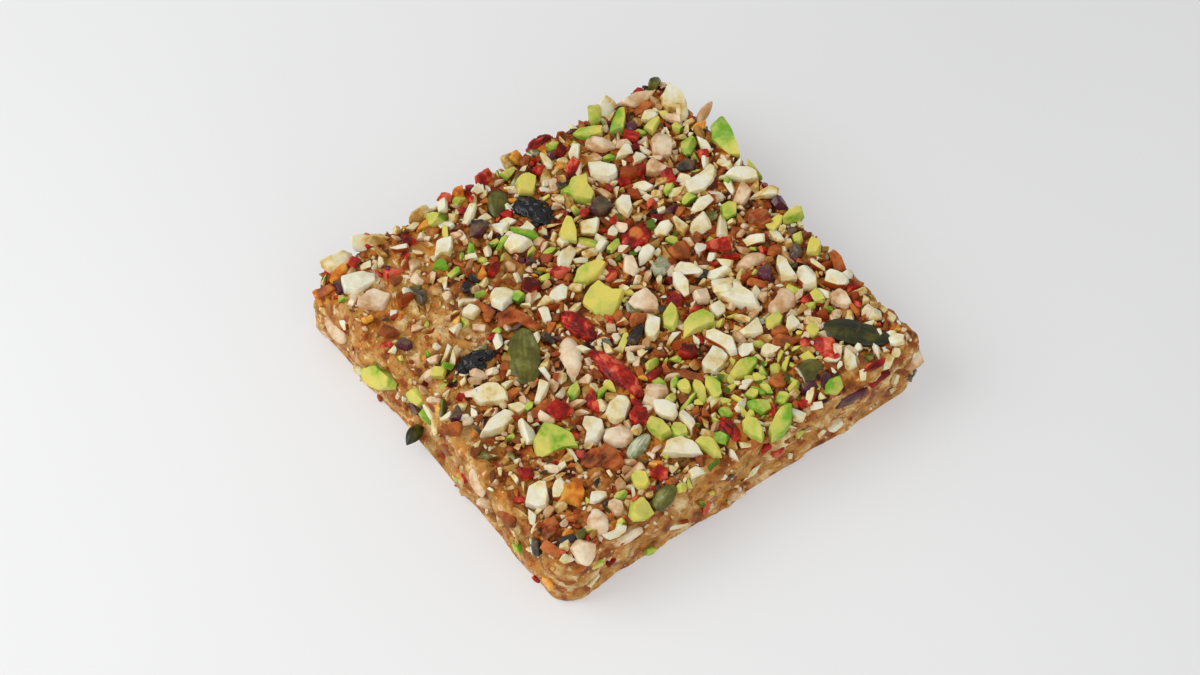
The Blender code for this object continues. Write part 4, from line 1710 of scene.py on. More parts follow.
PISTACHIO = Kind(
    slot="pistachio",
    finish=BitFinish(
        tones=((0.0, (220, 204, 94)), (0.4, (202, 198, 92)), (0.75, (166, 186, 62)), (1.0, (108, 162, 30))),
        patch=(222, 212, 140),
        skin=(88, 112, 30),
        swing=0.6,
        flesh=0.25,
    ),
    named=(
        cut("pistachio_1", Look(0.58, fade=0.2), -34, -20.5, -32, -16.5, -28, -14.7, -26, -16.5, -25, -20,
            -25.5, -23, -28, -21.5),
        cut("pistachio_2", Look(0.1), 1, 7, -1.4, 6.6, -4.8, 4, -4.9, -0.6, -1.6, -2.2, 0.6, -1, 3.6, 1.2,
            1.6, 2.6),
        cut("pistachio_3", Look(0.4, fade=0.5), -3.8, 8.8, -1, 10.9, 1.4, 11, 4.2, 10, 4.4, 8.4, 2, 7,
            -1.6, 7),
        cut("pistachio_4", Look(0.3, fade=0.4), 7.5, 28, 9.6, 28.4, 11.5, 29.4, 14.8, 28.8, 13.6, 26.6,
            13, 24, 11.4, 22.4, 9.4, 24.4),
        cut("pistachio_5", Look(0.8, fade=0.5), 40.4, 21.6, 42.2, 23.9, 45.3, 23.9, 45.2, 21, 43.8, 17,
            42.6, 14.6, 41, 16.6),
        cut("pistachio_6", Look(0.5, fade=0.5), 17.8, 39.2, 20.6, 39.4, 24.6, 36.4, 23.2, 34.8, 20, 35.6,
            18.2, 37.8),
        cut("pistachio_7", Look(0.8, fade=0.4), 24.6, 34.8, 26.6, 36.6, 30.4, 38.8, 31, 37.8, 29.6, 35.4,
            27.6, 33.4),
        cut("pistachio_8", Look(0.7, fade=0.7), 4.8, -43, 5.4, -41, 8.6, -38.8, 12.6, -37.8, 13.4, -38.8,
            10.6, -42, 7.4, -43.4),
        cut("pistachio_9", Look(0.35, fade=0.5), 5.6, -14.6, 7.4, -12, 10, -10.8, 12.8, -11.8, 13.8, -14,
            13, -15.8, 9.6, -15),
        cut("pistachio_10", Look(0.5, fade=0.5), 7, -27, 8.6, -25.8, 11, -25.2, 13.4, -25.4, 14.4, -26.6,
            13.4, -28, 10, -28.8, 7.6, -28),
        cut("pistachio_11", Look(0.35, fade=0.4), -12.2, -25, -10.2, -25, -9.4, -27.8, -9.4, -31.4,
            -12.4, -31.4, -12.8, -28),
        cut("pistachio_12", Look(0.4, skin=0.5)),
    ),
    chips=(
        (25.5, 40.4, 5, 3, 35, 0.3), (-4, 24.8, 6.5, 2.3, -60, 0.95), (35.8, 23, 6, 2.8, 50, 0.6),
        (-14.8, 12.6, 4.5, 2.5, -35, 0.95), (-16, 38, 4.2, 3.5, 0, 0.5), (21.6, -40.6, 4.5, 3, 20, 0.7),
        (32, 4.8, 3.7, 3.3, 0, 0.4), (-18.2, -11.6, 4.5, 2.2, 40, 0.6), (-5, -24.4, 3.5, 1.8, 20, 0.4),
        (-2.8, -27, 5, 1, 10, 0.6), (7.6, -35.8, 4, 3.8, 0, 0.65), (39.5, -12.6, 4, 3.5, 10, 0.05),
        (-22.4, 27.3, 3.2, 3, 0, 0.95), (-20.6, 24.6, 3.2, 1.8, 20, 0.6), (-14.8, 27.4, 3, 1.7, 50, 0.95),
        (27.5, 12, 3.2, 2, 0, 0.5), (19, 6, 2.5, 2.3, 0, 0.6), (8.2, 11.4, 4, 1.5, 20, 0.5),
        (26, 16.6, 3.5, 1.5, 30, 0.5), (33.5, 31.4, 4.5, 2.5, 20, 0.15), (-2.3, 18, 3, 1.3, 0, 0.5),
        (-14.4, -15, 4.5, 1.8, 30, 0.5), (-25.8, -36.3, 3, 1.8, 0, 0.5), (41.2, -4, 5, 2, 0, 0.3),
        (37.6, -3.2, 4, 2.4, 0, 0.2), (41.8, 10, 5.4, 1.5, 80, 0.5), (12, -30, 2.6, 2, 0, 0.1),
        (15.6, -30.4, 2.8, 2, 40, 0.1), (2.6, 39.4, 3, 2, 20, 0.4), (8, -32.8, 2.6, 2.2, 10, 0.6),
        (11.2, -33.4, 2.4, 2, 60, 0.5), (4.6, -36.6, 2.4, 1.8, 0, 0.6), (12.4, -37, 2.8, 2.2, 30, 0.5),
        (15.8, -36, 2.6, 1.8, 0, 0.4), (1.6, -33, 2.4, 1.8, 70, 0.5), (36.4, 11, 2.6, 1.8, 20, 0.7),
        (17.6, 11.4, 2.4, 1.8, 60, 0.5), (-7, 13, 2.4, 1.8, 0, 0.6), (-13, -33.6, 2.4, 1.6, 30, 0.5),
        (29.6, 31.2, 2.6, 2, 10, 0.6), (-27.6, -9.6, 2, 1.5, 0, 0.7), (-10.2, 26.4, 2.6, 1.8, 30, 0.5),
        (13.6, 38.4, 3, 2, 10, 0.4), (36.8, 28, 2.8, 2, 70, 0.5), (24.6, 1.6, 2.4, 1.8, 10, 0.5),
        (38.8, -8.6, 2.8, 2, 60, 0.6), (30.4, -22.8, 2.6, 1.8, 0, 0.5),
    ),
    slices=(
        (0.05, 0.6, 18.6, 1.4, 20.4, 3, 21.4, 5, 22.6, 5.6, 21.6, 4.6, 18.6, 3, 16.4),
        (0.1, 1, 33.4, 2, 36, 4, 36.4, 5.6, 36.2, 6.2, 34.4, 5, 32.6, 3.2, 31.4),
        (0.35, 3.8, -10.4, 5.6, -7.8, 8.8, -6.8, 9, -8.4, 8, -10, 7, -11.2, 5.4, -12),
        (0.4, -0.8, -28, 0, -24.6, 1.2, -23.6, 2, -24.6, 1.6, -27, 0.6, -28.6, -0.4, -28.8),
        (0.5, 1.4, -29.6, 1.6, -26.4, 3, -24.8, 4.4, -25.4, 4.6, -27.6, 3.6, -29.6, 2.4, -30.2),
        (0.15, -2.2, -24.4, -2, -22.6, -1, -22, 0.4, -22.4, 0.2, -24, -0.6, -25.2, -1.4, -25.4),
        (0.5, -10, -32.4, -9.6, -30.4, -8.2, -29.2, -7, -30, -6.6, -31.6, -7.6, -33.2, -9.4, -33.2),
        (0.3, -7.8, -35, -6, -34.6, -4.6, -36, -4.2, -38.6, -5.2, -40.8, -6.4, -40, -7, -37.4),
        (0.35, 1.4, -38.6, 2.4, -37, 4.2, -36.6, 5, -38.6, 4.6, -41.4, 3, -42.8, 1.8, -41),
        (0.1, -22.6, -36, -21.8, -34, -20, -34, -18.8, -35.4, -19.6, -37.6, -21, -38, -22.4, -37.2),
        (0.2, -27.4, -40.6, -26, -39, -22.8, -38.8, -22.4, -40.4, -23, -42.8, -25.2, -43, -27.2, -42),
        (0.4, 20.2, -22, 21, -20.4, 23, -20, 24.4, -20.6, 24.4, -22.2, 22.6, -23.4, 20.8, -23.2),
        (0.3, 25.6, -28.4, 26, -26.6, 27.6, -26, 28.4, -27, 28, -28.8, 27, -29.6, 26, -29.4),
    ),
    walls=(
        (Wall.FRONT, ((-36.5, 9.4, 3.4, 2, 20, 0.4), (13, 9.2, 2.6, 2, 0, 0.5),
            (-24, 3.4, 2.4, 1.8, 0, 0.5))),
        (Wall.LEFT, ((8, 12.4, 4.5, 3.5, 20, 0.45), (4, 9.6, 3.5, 3, 0, 0.95), (-8, 4, 2.6, 2, 40, 0.6),
            (-29, 5.6, 2.8, 2, 10, 0.5))),
        (Wall.RIGHT, ((-14, 6, 3.4, 2.6, 0, 0.5), (20, 10, 4, 2.6, 30, 0.8), (38, 5, 3, 2, 0, 0.4),
            (-36, 10, 3, 2.2, 20, 0.6))),
        (Wall.BACK, ((-26, 4, 3, 2.2, 0, 0.5), (-4, 9, 3.6, 2.4, 20, 0.4), (27, 11, 4, 2.6, 0, 0.8),
            (38, 10, 2.8, 2, 30, 0.5))),
    ),
    skinned=0.35,
    share=0.065,
    fade=0.45,
    tones=(0.0, 0.85),
    zones=((6, -32, 12, 8.0), (9, 30, 8, 1.0)),
    thick=0.7,
)

PUMPKIN_SEED = Kind(
    slot="pumpkin_seed",
    finish=BitFinish(
        tones=((0.0, (30, 32, 10)), (0.5, (108, 102, 26)), (0.8, (142, 144, 78)), (1.0, (210, 214, 180))),
        patch=(58, 58, 14),
        patch_share=0.3,
        swing=0.4,
        coat=0.5,
        skin=(226, 220, 186),
        shine=0.34,
        dull=0.5,
        flesh=0.05,
        lines=18.0,
    ),
    named=(
        RoundTopping("pumpkin_seed_1", Spindle.SEED, Look(0.48), rim=0.25, plump=1.12),
        RoundTopping("pumpkin_seed_2", Spindle.SEED, Look(0.0), rim=0.25),
        RoundTopping("pumpkin_seed_3", Spindle.SEED, Look(0.36, cut=0.55), rim=0.1),
        RoundTopping("pumpkin_seed_4", Spindle.SEED, Look(0.55), rim=0.2),
        RoundTopping("pumpkin_seed_5", Spindle.SEED, Look(0.32), rim=0.2),
        RoundTopping("pumpkin_seed_6", Spindle.SEED, Look(0.95), rim=0.15),
        RoundTopping("pumpkin_seed_7", Spindle.LEAF, Look(0.15), rim=0.2),
    ),
    chips=(
        (-36.7, -38.8, 3, 1.6, 20, 0.4), (13, 2.2, 6, 3.3, 30, 0.85), (-41.2, 0.5, 4, 1.4, 55, 0.2),
        (40.2, 40, 3.5, 2, 20, 0.2), (28.5, 6.3, 2.6, 2.2, 0, 0.3), (-27, 6.6, 2, 1.4, 0, 0.8),
        (16.2, -33.6, 2.4, 1.4, 50, 0.2), (38.6, -29.4, 2.4, 1.4, 30, 0.4),
    ),
    share=0.02,
    tones=(0.1, 0.9),
)

GOJI = Kind(
    slot="goji_berry",
    finish=BitFinish(
        tones=((0.0, (78, 12, 6)), (0.45, (146, 26, 15)), (0.8, (196, 44, 26)), (1.0, (226, 106, 74))),
        patch=(112, 14, 8),
        patch_share=0.35,
        coat=0.2,
        skin=(226, 132, 60),
        shine=0.26,
        dull=0.44,
        grain=0.7,
        relief=0.26,
        flesh=0.1,
        reach=(1.0, 0.2, 0.1),
    ),
    named=(
        RoundTopping("goji_berry_1", Spindle.LONG_BERRY, Look(0.78), crease=0.12, crease_size=0.85,
                     crease_stretch=0.55, sides=88, rings=80),
        RoundTopping("goji_berry_2", Spindle.LONG_BERRY, Look(0.5), crease=0.17, crease_size=1.1,
                     crease_stretch=0.6, sides=72, rings=60),
        RoundTopping("goji_berry_3", Spindle.ROUND_BERRY, Look(0.6), crease=0.2, spot=1.5),
        RoundTopping("goji_berry_4", Spindle.ROUND_BERRY, Look(0.6, cut=0.65), crease=0.22),
        RoundTopping("goji_berry_5", Spindle.ROUND_BERRY, Look(0.5), crease=0.25),
        RoundTopping("goji_berry_6", Spindle.ROUND_BERRY, Look(0.6), crease=0.25),
    ),
    chips=(
        (-11.2, 13, 4.5, 4, 20, 0.1), (-4.2, 12.6, 4, 3, 0, 0.5), (25.5, -0.7, 5, 4, 0, 0.9),
        (-24, -14, 4.5, 4, 10, 0.6), (-17, -15.6, 5, 2.5, 50, 0.6), (-12.3, -23.8, 4.5, 3.5, 60, 0.5),
        (27.8, 31.6, 4.5, 2.8, 90, 0.5), (27.7, 19, 5, 2.8, 85, 0.6), (-2, 40.6, 4, 3, 0, 0.6),
        (4.4, -17.6, 4.5, 3.5, 10, 0.2), (-4, -18, 4, 2, 0, 0.5), (30.9, -21.4, 4, 2, 0, 0.6),
        (-37, -21.6, 3, 3, 0, 0.5), (-17, -37, 3.2, 2.8, 0, 0.7), (-35, 39, 2.5, 2.4, 0, 0.8),
        (7.7, 35.4, 2.8, 2.2, 0, 0.6), (13, 32, 5, 2.5, 40, 0.5), (-3.4, 30.6, 2.8, 2.2, 0, 0.6),
        (5.6, 23.2, 3.5, 1.2, 65, 0.5), (3.6, 5.8, 3, 2, 0, 0.6), (37.2, 19.6, 2.5, 2.4, 0, 0.6),
        (23.9, -29.4, 2.4, 2, 0, 0.7), (14.8, -40.4, 2.4, 2, 0, 0.6), (37.8, -27, 4, 1.5, 90, 0.4),
        (-29.8, 41.6, 2.6, 2.2, 0, 0.8), (-11.4, 40.8, 2.8, 2, 0, 0.6), (-25.8, 34, 2.4, 1.4, 30, 0.4),
        (-14, 20.8, 3, 2.5, 0, 0.15), (12.4, 16.6, 2.2, 1.8, 0, 0.5), (-23.6, 36.4, 3, 2.5, 0, 0.2),
        (31.6, -41.2, 6, 2, 0, 0.5), (20.6, 15.6, 2.4, 1.6, 30, 0.6), (-9, -19.8, 2.4, 1.6, 60, 0.5),
        (36, 39.6, 2.6, 2, 0, 0.5), (39.6, -24.6, 2.6, 1.8, 0, 0.3),
    ),
    slices=(
        (0.8, 24.4, -31, 25.6, -30, 27, -30.8, 28.6, -32.4, 28.2, -34, 26.4, -34.2, 24.8, -33.2),
    ),
    walls=(
        (Wall.FRONT, ((-10.4, 5.1, 3, 2.2, 0, 0.7), (8.2, 7.4, 4, 2, 10, 0.6), (32, 11.6, 5, 3, 0, 0.3),
            (4.6, 11, 2.4, 1.8, 20, 0.6), (-33, 7, 2.2, 1.6, 0, 0.4))),
        (Wall.LEFT, ((-11, 8, 2.6, 2, 0, 0.4), (20, 5, 2.4, 1.6, 30, 0.3))),
        (Wall.RIGHT, ((-2, 6, 4, 2.6, 20, 0.5), (27, 5, 3, 2.2, 0, 0.4), (-38, 5, 3, 2, 10, 0.6))),
        (Wall.BACK, ((-20, 8, 3.6, 2.4, 10, 0.5), (10, 11, 4, 2.4, 0, 0.6), (31, 9, 2.6, 2, 0, 0.3))),
    ),
    share=0.07,
    tones=(0.1, 0.9),
    thick=0.65,
    rough=0.3,
    lump=1.1,
    sharp=0.0,
)

DARK_BERRY = Kind(
    slot="blueberry",
    finish=BitFinish(
        tones=(
            (0.0, (12, 13, 20)), (0.3, (44, 36, 34)), (0.6, (104, 84, 52)), (0.78, (110, 82, 60)),
            (1.0, (92, 36, 52)),
        ),
        patch=(10, 8, 10),
        patch_share=0.5,
        swing=0.5,
        coat=0.6,
        shine=0.2,
        dull=0.4,
        relief=0.14,
        flesh=0.04,
    ),
    named=(
        RoundTopping("blueberry_1", Spindle.ROUND_BERRY, Look(0.1), crease=0.28, crease_size=1.9,
                     crease_stretch=1.0, lump=0.16, sides=88, rings=66),
        RoundTopping("blueberry_2", Spindle.ROUND_BERRY, Look(0.05), crease=0.3, crease_size=1.4,
                     crease_stretch=1.0, lump=0.18, sides=80, rings=60),
    ),
    chips=(
        (-1.2, -8.5, 4.6, 2.6, 20, 0.2), (18.8, -4, 2.5, 2, 0, 0.3), (12.2, 20.8, 4.5, 3.6, 0, 0.6),
        (-11, 31, 5, 3.6, 20, 0.6), (-21.2, 20.4, 2.2, 2, 0, 0.1), (-29.3, 24, 4, 3, 30, 0.4),
        (32, 19, 4, 3, 0, 0.5), (8.9, 29.6, 2, 1.8, 0, 0.3), (28, -11.8, 3.6, 3, 45, 0.95),
        (-39.8, -3, 3.5, 2, 20, 0.95), (-38.3, 16.5, 3, 2.5, 0, 0.9), (-30.3, 33.6, 1.8, 1.8, 0, 0.9),
        (29.6, 33.6, 2.6, 2.4, 0, 0.95), (-41, 36, 3, 2, 60, 0.9), (-7, 18.3, 2.5, 1.5, 0, 0.9),
        (36, -11.4, 3.2, 3, 0, 0.8), (6.8, -6.4, 2, 1.6, 0, 0.5),
    ),
    walls=(
        (Wall.FRONT, ((25, 11, 6, 2.6, -10, 0.9), (41, 5, 3, 2.4, 0, 0.4))),
        (Wall.LEFT, ((-34, 12.6, 4, 2.6, 10, 0.3), (7.4, 8.4, 3.6, 1.6, 10, 0.85))),
        (Wall.RIGHT, ((6, 9, 4, 3, 0, 0.2),)),
        (Wall.BACK, ((-9, 6, 3, 2.4, 0, 0.85), (22, 5, 3, 2.2, 0, 0.4))),
    ),
    share=0.03,
    tones=(0.1, 1.0),
    thick=0.7,
    rough=0.34,
    lump=1.2,
    sharp=0.0,
)

KERNEL = Kind(
    slot="sunflower_kernel",
    finish=BitFinish(
        tones=((0.0, (240, 224, 194)), (0.5, (228, 200, 164)), (1.0, (192, 146, 94))),
        patch=(180, 136, 96),
        swing=0.7,
        flesh=0.2,
    ),
    named=(
        cut("sunflower_kernel_1", Look(0.45), -40.4, 30.2, -37, 31.8, -35.2, 31.4, -33.2, 28.2, -36.6, 25.8,
            -38.3, 26.8, sharp=70.0),
        RoundTopping("sunflower_kernel_2", Spindle.KERNEL, Look(0.3), lump=0.06),
        RoundTopping("sunflower_kernel_3", Spindle.KERNEL, Look(0.6), lump=0.08),
        cut("sunflower_kernel_4", Look(0.4), 28.2, 25, 30, 28.4, 33.6, 30.2, 35, 28.8, 34, 25.4, 31.4, 23.2,
            29, 23.6, sharp=70.0),
        RoundTopping("sunflower_kernel_5", Spindle.KERNEL, Look(0.6)),
        cut("sunflower_kernel_6", Look(0.4), 2, -1.4, 4, -0.2, 7, -0.8, 7.4, -4.4, 6, -6.8, 3.6, -5,
            2.4, -3.4, sharp=70.0),
        RoundTopping("sunflower_kernel_7", Spindle.KERNEL, Look(0.45), lump=0.06),
        RoundTopping("sunflower_kernel_8", Spindle.KERNEL, Look(0.7)),
        RoundTopping("sunflower_kernel_9", Spindle.KERNEL, Look(0.4)),
        RoundTopping("sunflower_kernel_10", Spindle.KERNEL, Look(0.5)),
    ),
    chips=(
        (36.4, 6.4, 5.5, 4.2, 60, 0.6), (8, 5.4, 5, 3.2, 55, 0.4), (34.5, 39, 8, 3, -12, 0.6),
        (21.5, 32.8, 7, 3.2, -30, 0.5), (26.6, 22, 4.5, 4, 0, 0.6), (-6.2, -21.6, 5, 3.4, 0, 0.5),
        (-1.6, -20.4, 3.5, 1.8, 0, 0.5), (14.8, -8.6, 4, 3.2, 0, 0.4), (-20.5, -33.8, 5, 2, 10, 0.6),
        (-26, 31, 3, 2.2, 0, 0.7), (-34, 18.4, 2.6, 2, 0, 0.8), (-25.4, 20.6, 3, 2.2, 30, 0.7),
        (-38.6, 8.4, 2.8, 2.2, 0, 0.7), (33.4, -27.6, 2.6, 2, 0, 0.5),
    ),
    slices=(
        (0.2, -21, -24.4, -19.6, -23.2, -16, -23.4, -15, -25.2, -16.2, -27.6, -18.4, -28, -20.2, -27),
        (0.4, -29.4, -37, -28.6, -36.2, -27.4, -36.4, -26.6, -38, -27.2, -39.6, -28.4, -40.2, -29.4, -39.4),
        (0.4, -40.8, -41.4, -40.6, -40, -38.4, -39.4, -36, -41.4, -37.2, -43.8, -39.2, -44.8, -40.6, -43.4),
        (0.5, 34, -24.6, 34.8, -23.4, 37.2, -23.4, 37.8, -25.2, 37, -28, 35.6, -28, 34.4, -26.4),
    ),
    walls=(
        (Wall.FRONT, ((-28.8, 11.8, 6, 3, 0, 0.2), (40, 10.6, 4, 3, 20, 0.7), (-3, 3, 4, 2.4, 0, 0.8))),
        (Wall.LEFT, ((36, 4, 4, 3, 0, 0.8), (-18.6, 8.4, 3.4, 2.8, 0, 0.7))),
        (Wall.RIGHT, ((-26, 3.6, 4, 3, 10, 0.6), (9, 3, 4, 2.8, 0, 0.7))),
        (Wall.BACK, ((-38, 4, 4, 2.8, 0, 0.7), (14, 4, 4, 3, 10, 0.6))),
    ),
    share=0.2,
    on_walls=1.0,
    tones=(0.1, 1.0),
    thick=0.7,
    sharp=45.0,
)

ALMOND_SKIN = Kind(
    slot="almond_skin",
    finish=BitFinish(
        tones=((0.0, (76, 24, 6)), (0.5, (146, 54, 18)), (1.0, (196, 104, 42))),
        patch=(184, 116, 62),
        swing=0.9,
        skin=(222, 196, 150),
        shine=0.36,
        dull=0.52,
        flesh=0.06,
        lines=5.0,
        relief=0.16,
    ),
    named=(
        cut("almond_skin_1", Look(0.3), -28, -26, -25.6, -24.8, -21.8, -25.6, -19.4, -28.4, -20.6, -31,
            -22.8, -31.2, -25.6, -28.8, rough=0.4),
        cut("almond_skin_2", Look(0.5), -21.6, 9, -20.4, 11.6, -17, 11, -15, 7.5, -14, 4.4, -16, 4,
            -18, 7.6),
        cut("almond_skin_3", Look(0.35), -43.8, -36.6, -42.4, -33.4, -40, -31.6, -38.2, -32.4, -38.2, -34.6,
            -41, -36.2, rough=0.4),
        cut("almond_skin_4", Look(0.5), 33, 0.4, 34.4, 2, 36.4, 1.6, 37.8, -0.4, 37, -3, 35, -2.4),
    ),
    chips=(
        (1.5, -21.8, 7.5, 2.2, -60, 0.2), (18.6, 2.8, 5.2, 4.2, 0, 0.5), (1.4, -5.6, 4, 3, 0, 0.5),
        (-26, -11.5, 5.5, 2.5, 15, 0.3), (14.3, -33.2, 4.5, 3, 20, 0.95), (21.4, -26.4, 5, 3, -30, 0.4),
        (33.5, -8, 3.5, 2.5, 40, 0.3), (41, -18, 5.4, 3, 60, 0.5), (-30.5, 30.5, 3, 2.5, 0, 0.4),
        (-41.8, -5.5, 3.5, 2.6, 30, 0.4), (-41.8, -12, 2.5, 2, 0, 0.05), (2.5, -34, 4.5, 1.5, -65, 0.4),
        (2, -41.8, 5, 2, 0, 0.5), (-0.4, 36.6, 2, 1.5, 90, 0.3), (-21.4, 12.4, 3, 2, 30, 0.4),
        (24, 10.8, 3, 2, 0, 0.5), (7, 39, 3, 2, 0, 0.4), (-33.4, -36.2, 2.6, 1.6, 30, 0.3),
        (24.2, -36.6, 2.6, 1.4, -40, 0.4), (30, 0.6, 2.6, 1.6, 20, 0.5), (-13.6, 33.6, 2.4, 1.4, 0, 0.3),
        (-9.6, -9.2, 2.2, 1.4, 80, 0.4), (31, 38.2, 3, 1.6, 10, 0.4), (9.6, 9.4, 2.6, 1.4, 0, 0.4),
    ),
    walls=(
        (Wall.FRONT, ((15, 12.6, 3, 1.6, 0, 0.4), (-40, 11, 3, 2, 0, 0.7))),
        (Wall.LEFT, ((-25.6, 11.6, 6, 4.2, 10, 0.4), (-5, 10, 4, 3, 20, 0.45), (13, 6, 2.6, 1.6, 0, 0.3))),
        (Wall.RIGHT, ((-33, 12, 4, 2.4, 10, 0.4), (16, 12, 3.6, 2, 0, 0.5))),
        (Wall.BACK, ((-30, 11, 3.6, 2.2, 0, 0.4), (8, 8, 3, 2, 30, 0.5))),
    ),
    share=0.1,
    tones=(0.0, 0.9),
    thick=0.36,
    rough=0.2,
)

APRICOT = Kind(
    slot="apricot",
    finish=BitFinish(
        tones=((0.0, (176, 84, 20)), (0.5, (218, 130, 30)), (1.0, (238, 176, 70))),
        patch=(190, 96, 24),
        swing=0.9,
        coat=0.4,
        shine=0.26,
        dull=0.42,
        flesh=0.3,
        reach=(1.8, 0.9, 0.3),
    ),
    named=(
        cut("apricot_1", Look(0.55, fade=0.5), -36.6, -30.4, -33.5, -28.4, -29.2, -28.2, -29.8, -29.8,
            -32.6, -33.6, -33.6, -33.2, -34.4, -31.6, rough=0.4),
    ),
    chips=(
        (-39, 38.6, 5, 2.2, 15, 0.6), (-8.6, 40.6, 2.4, 1.8, 0, 0.5), (6, 40.8, 3, 2, 0, 0.5),
        (11.4, 34, 2, 1.6, 0, 0.5), (-38.7, -37.2, 2.4, 1.8, 0, 0.6), (-35, 23, 2.4, 1.8, 40, 0.6),
        (-40.6, 26, 2.6, 2, 0, 0.5), (-27, 14.6, 2.2, 1.6, 0, 0.6),
    ),
    walls=((Wall.LEFT, ((39, 11, 4, 3, 0, 0.6), (-38, 5, 3.4, 2.4, 30, 0.5))),),
    share=0.025,
    tones=(0.2, 0.9),
    zones=((-36, 25, 14, 1.5), (0, -30, 12, 1.5)),
    rough=0.26,
    sharp=0.0,
)

KINDS = (ALMOND, PISTACHIO, PUMPKIN_SEED, GOJI, DARK_BERRY, KERNEL, ALMOND_SKIN, APRICOT)


SLICE_PLATE = Plate(corners=7, steps=5, tight=0.1, upper=(0.25, 0.5, 0.75, 0.93), lower=(0.7,))
CRUMB_PLATE = Plate(corners=5, steps=2, tight=0.5, upper=(0.9,), lower=(), ease=0.1)
CRUMB_SHARP = 30.0

# Least and most length, width and thickness of a crumb, as shares of the width that its place allows.
CRUMB_PROPORTIONS = ((0.9, 0.45, 0.35), (1.6, 1.0, 0.75))


@dataclass(frozen=True)
class Topping:
    """Everything of one kind on the bar: its named pieces, its chips and its share of the crumbs."""

    kind: Kind
    form: SlabForm
    number: int

    @property
    def manner(self) -> dict[str, float]:
        """How this kind's chips and slices break."""
        return {key: getattr(self.kind, key) for key in ("rough", "lump", "skinned", "fade")}

    def build(self, nests: dict[str, Nest], crumbs: Array) -> list[bpy.types.Object]:
        """Makes the pieces.

        Args:
            nests: where the CAD toppings sit, by name.
            crumbs: box point and width of each of this kind's crumbs.

        Returns:
            The pieces made.
        """
        kind = self.kind
        material = kind.finish.build(kind.slot)
        made = [piece.build(Seat(nests[piece.node], kind.slot, material)) for piece in kind.named]
        skins = [("chips", self.chips(), kind.sharp)]
        if kind.slices:
            skins.append(("slices", self.slices(), kind.sharp))
        skins.append(("crumbs", self.crumbs(crumbs), CRUMB_SHARP))
        for name, skin, sharp in skins:
            made.append(skin.to_object(f"{kind.slot}_{name}", kind.slot, material, sharp))
        return made

    def chips(self) -> Skin:
        """Makes the chips.

        Returns:
            One skin of those on the top and on the walls.
        """
        bits = Bits.on_top(self.form, self.kind.chips, self.kind.thick)
        for wall, rows in self.kind.walls:
            bits = bits + Bits.on_wall(self.form, wall, rows)
        return Chopper(Plate(), CHIP_SEED + self.number, **self.manner).make(self.form, bits)

    def outlines(self) -> Array:
        """Corners of the slices, (slices, corners, 2)."""
        return np.array(self.kind.slices)[:, 1:].reshape(len(self.kind.slices), -1, 2)

    def slice_bits(self) -> Bits:
        """Places of the slices."""
        return Bits.cut(self.form, self.outlines(), np.array(self.kind.slices)[:, 0])

    def slices(self) -> Skin:
        """The slices, whose outlines are given corner by corner, roughened in the kind's manner."""
        knife = Chopper(SLICE_PLATE, SLICE_SEED + self.number, lean=0.1, **self.manner)
        return knife.make(self.form, self.slice_bits(), fitted(self.outlines())[2])

    def crumbs(self, crumbs: Array) -> Skin:
        """Makes the crumbs, each with its own turn, tone and proportions.

        Args:
            crumbs: box point and width of each one.

        Returns:
            One skin of them all.
        """
        rng = np.random.RandomState(CRUMB_SHAPE_SEED + self.number)
        count = len(crumbs)
        box = crumbs[:, :3]
        sizes = crumbs[:, 3:4] * rng.uniform(*CRUMB_PROPORTIONS, (count, 3))
        tone = rng.uniform(*self.kind.tones, count)
        sunk = np.where(box[:, 2] < self.form.size[2], 0.25, 0.0)
        stand = sizes[:, 2] * (rng.uniform(0.45, 0.8, count) - sunk) + 0.15
        bits = Bits(box, sizes, rng.uniform(0, 360, count), tone, stand)
        grinder = Chopper(CRUMB_PLATE, CRUMB_SEED + self.number, lean=0.5, skinned=self.kind.skinned)
        return grinder.make(self.form, bits)


# ---- Studio ----


def turned_to(place: tuple[float, float, float], target: tuple[float, float, float]) -> Euler:
    """The turn that points a lamp or camera at its target."""
    return (Vector(target) - Vector(place)).to_track_quat("-Z", "Y").to_euler()


@dataclass(frozen=True)
class Lamp:
    """A square soft lamp that faces the middle of the bar's underside."""

    name: str
    place: tuple[float, float, float]
    size: float
    power: float
    colour: Colour = (253, 254, 255)

    def build(self) -> None:
        """Hangs the lamp."""
        light = bpy.data.lights.new(self.name, "AREA")
        light.size = self.size
        light.energy = self.power
        light.color = linear(self.colour)[:3]
        lamp = bpy.data.objects.new(self.name, light)
        lamp.location = self.place
        lamp.rotation_euler = turned_to(self.place, (0.0, 0.0, 0.0))
        bpy.context.scene.collection.objects.link(lamp)


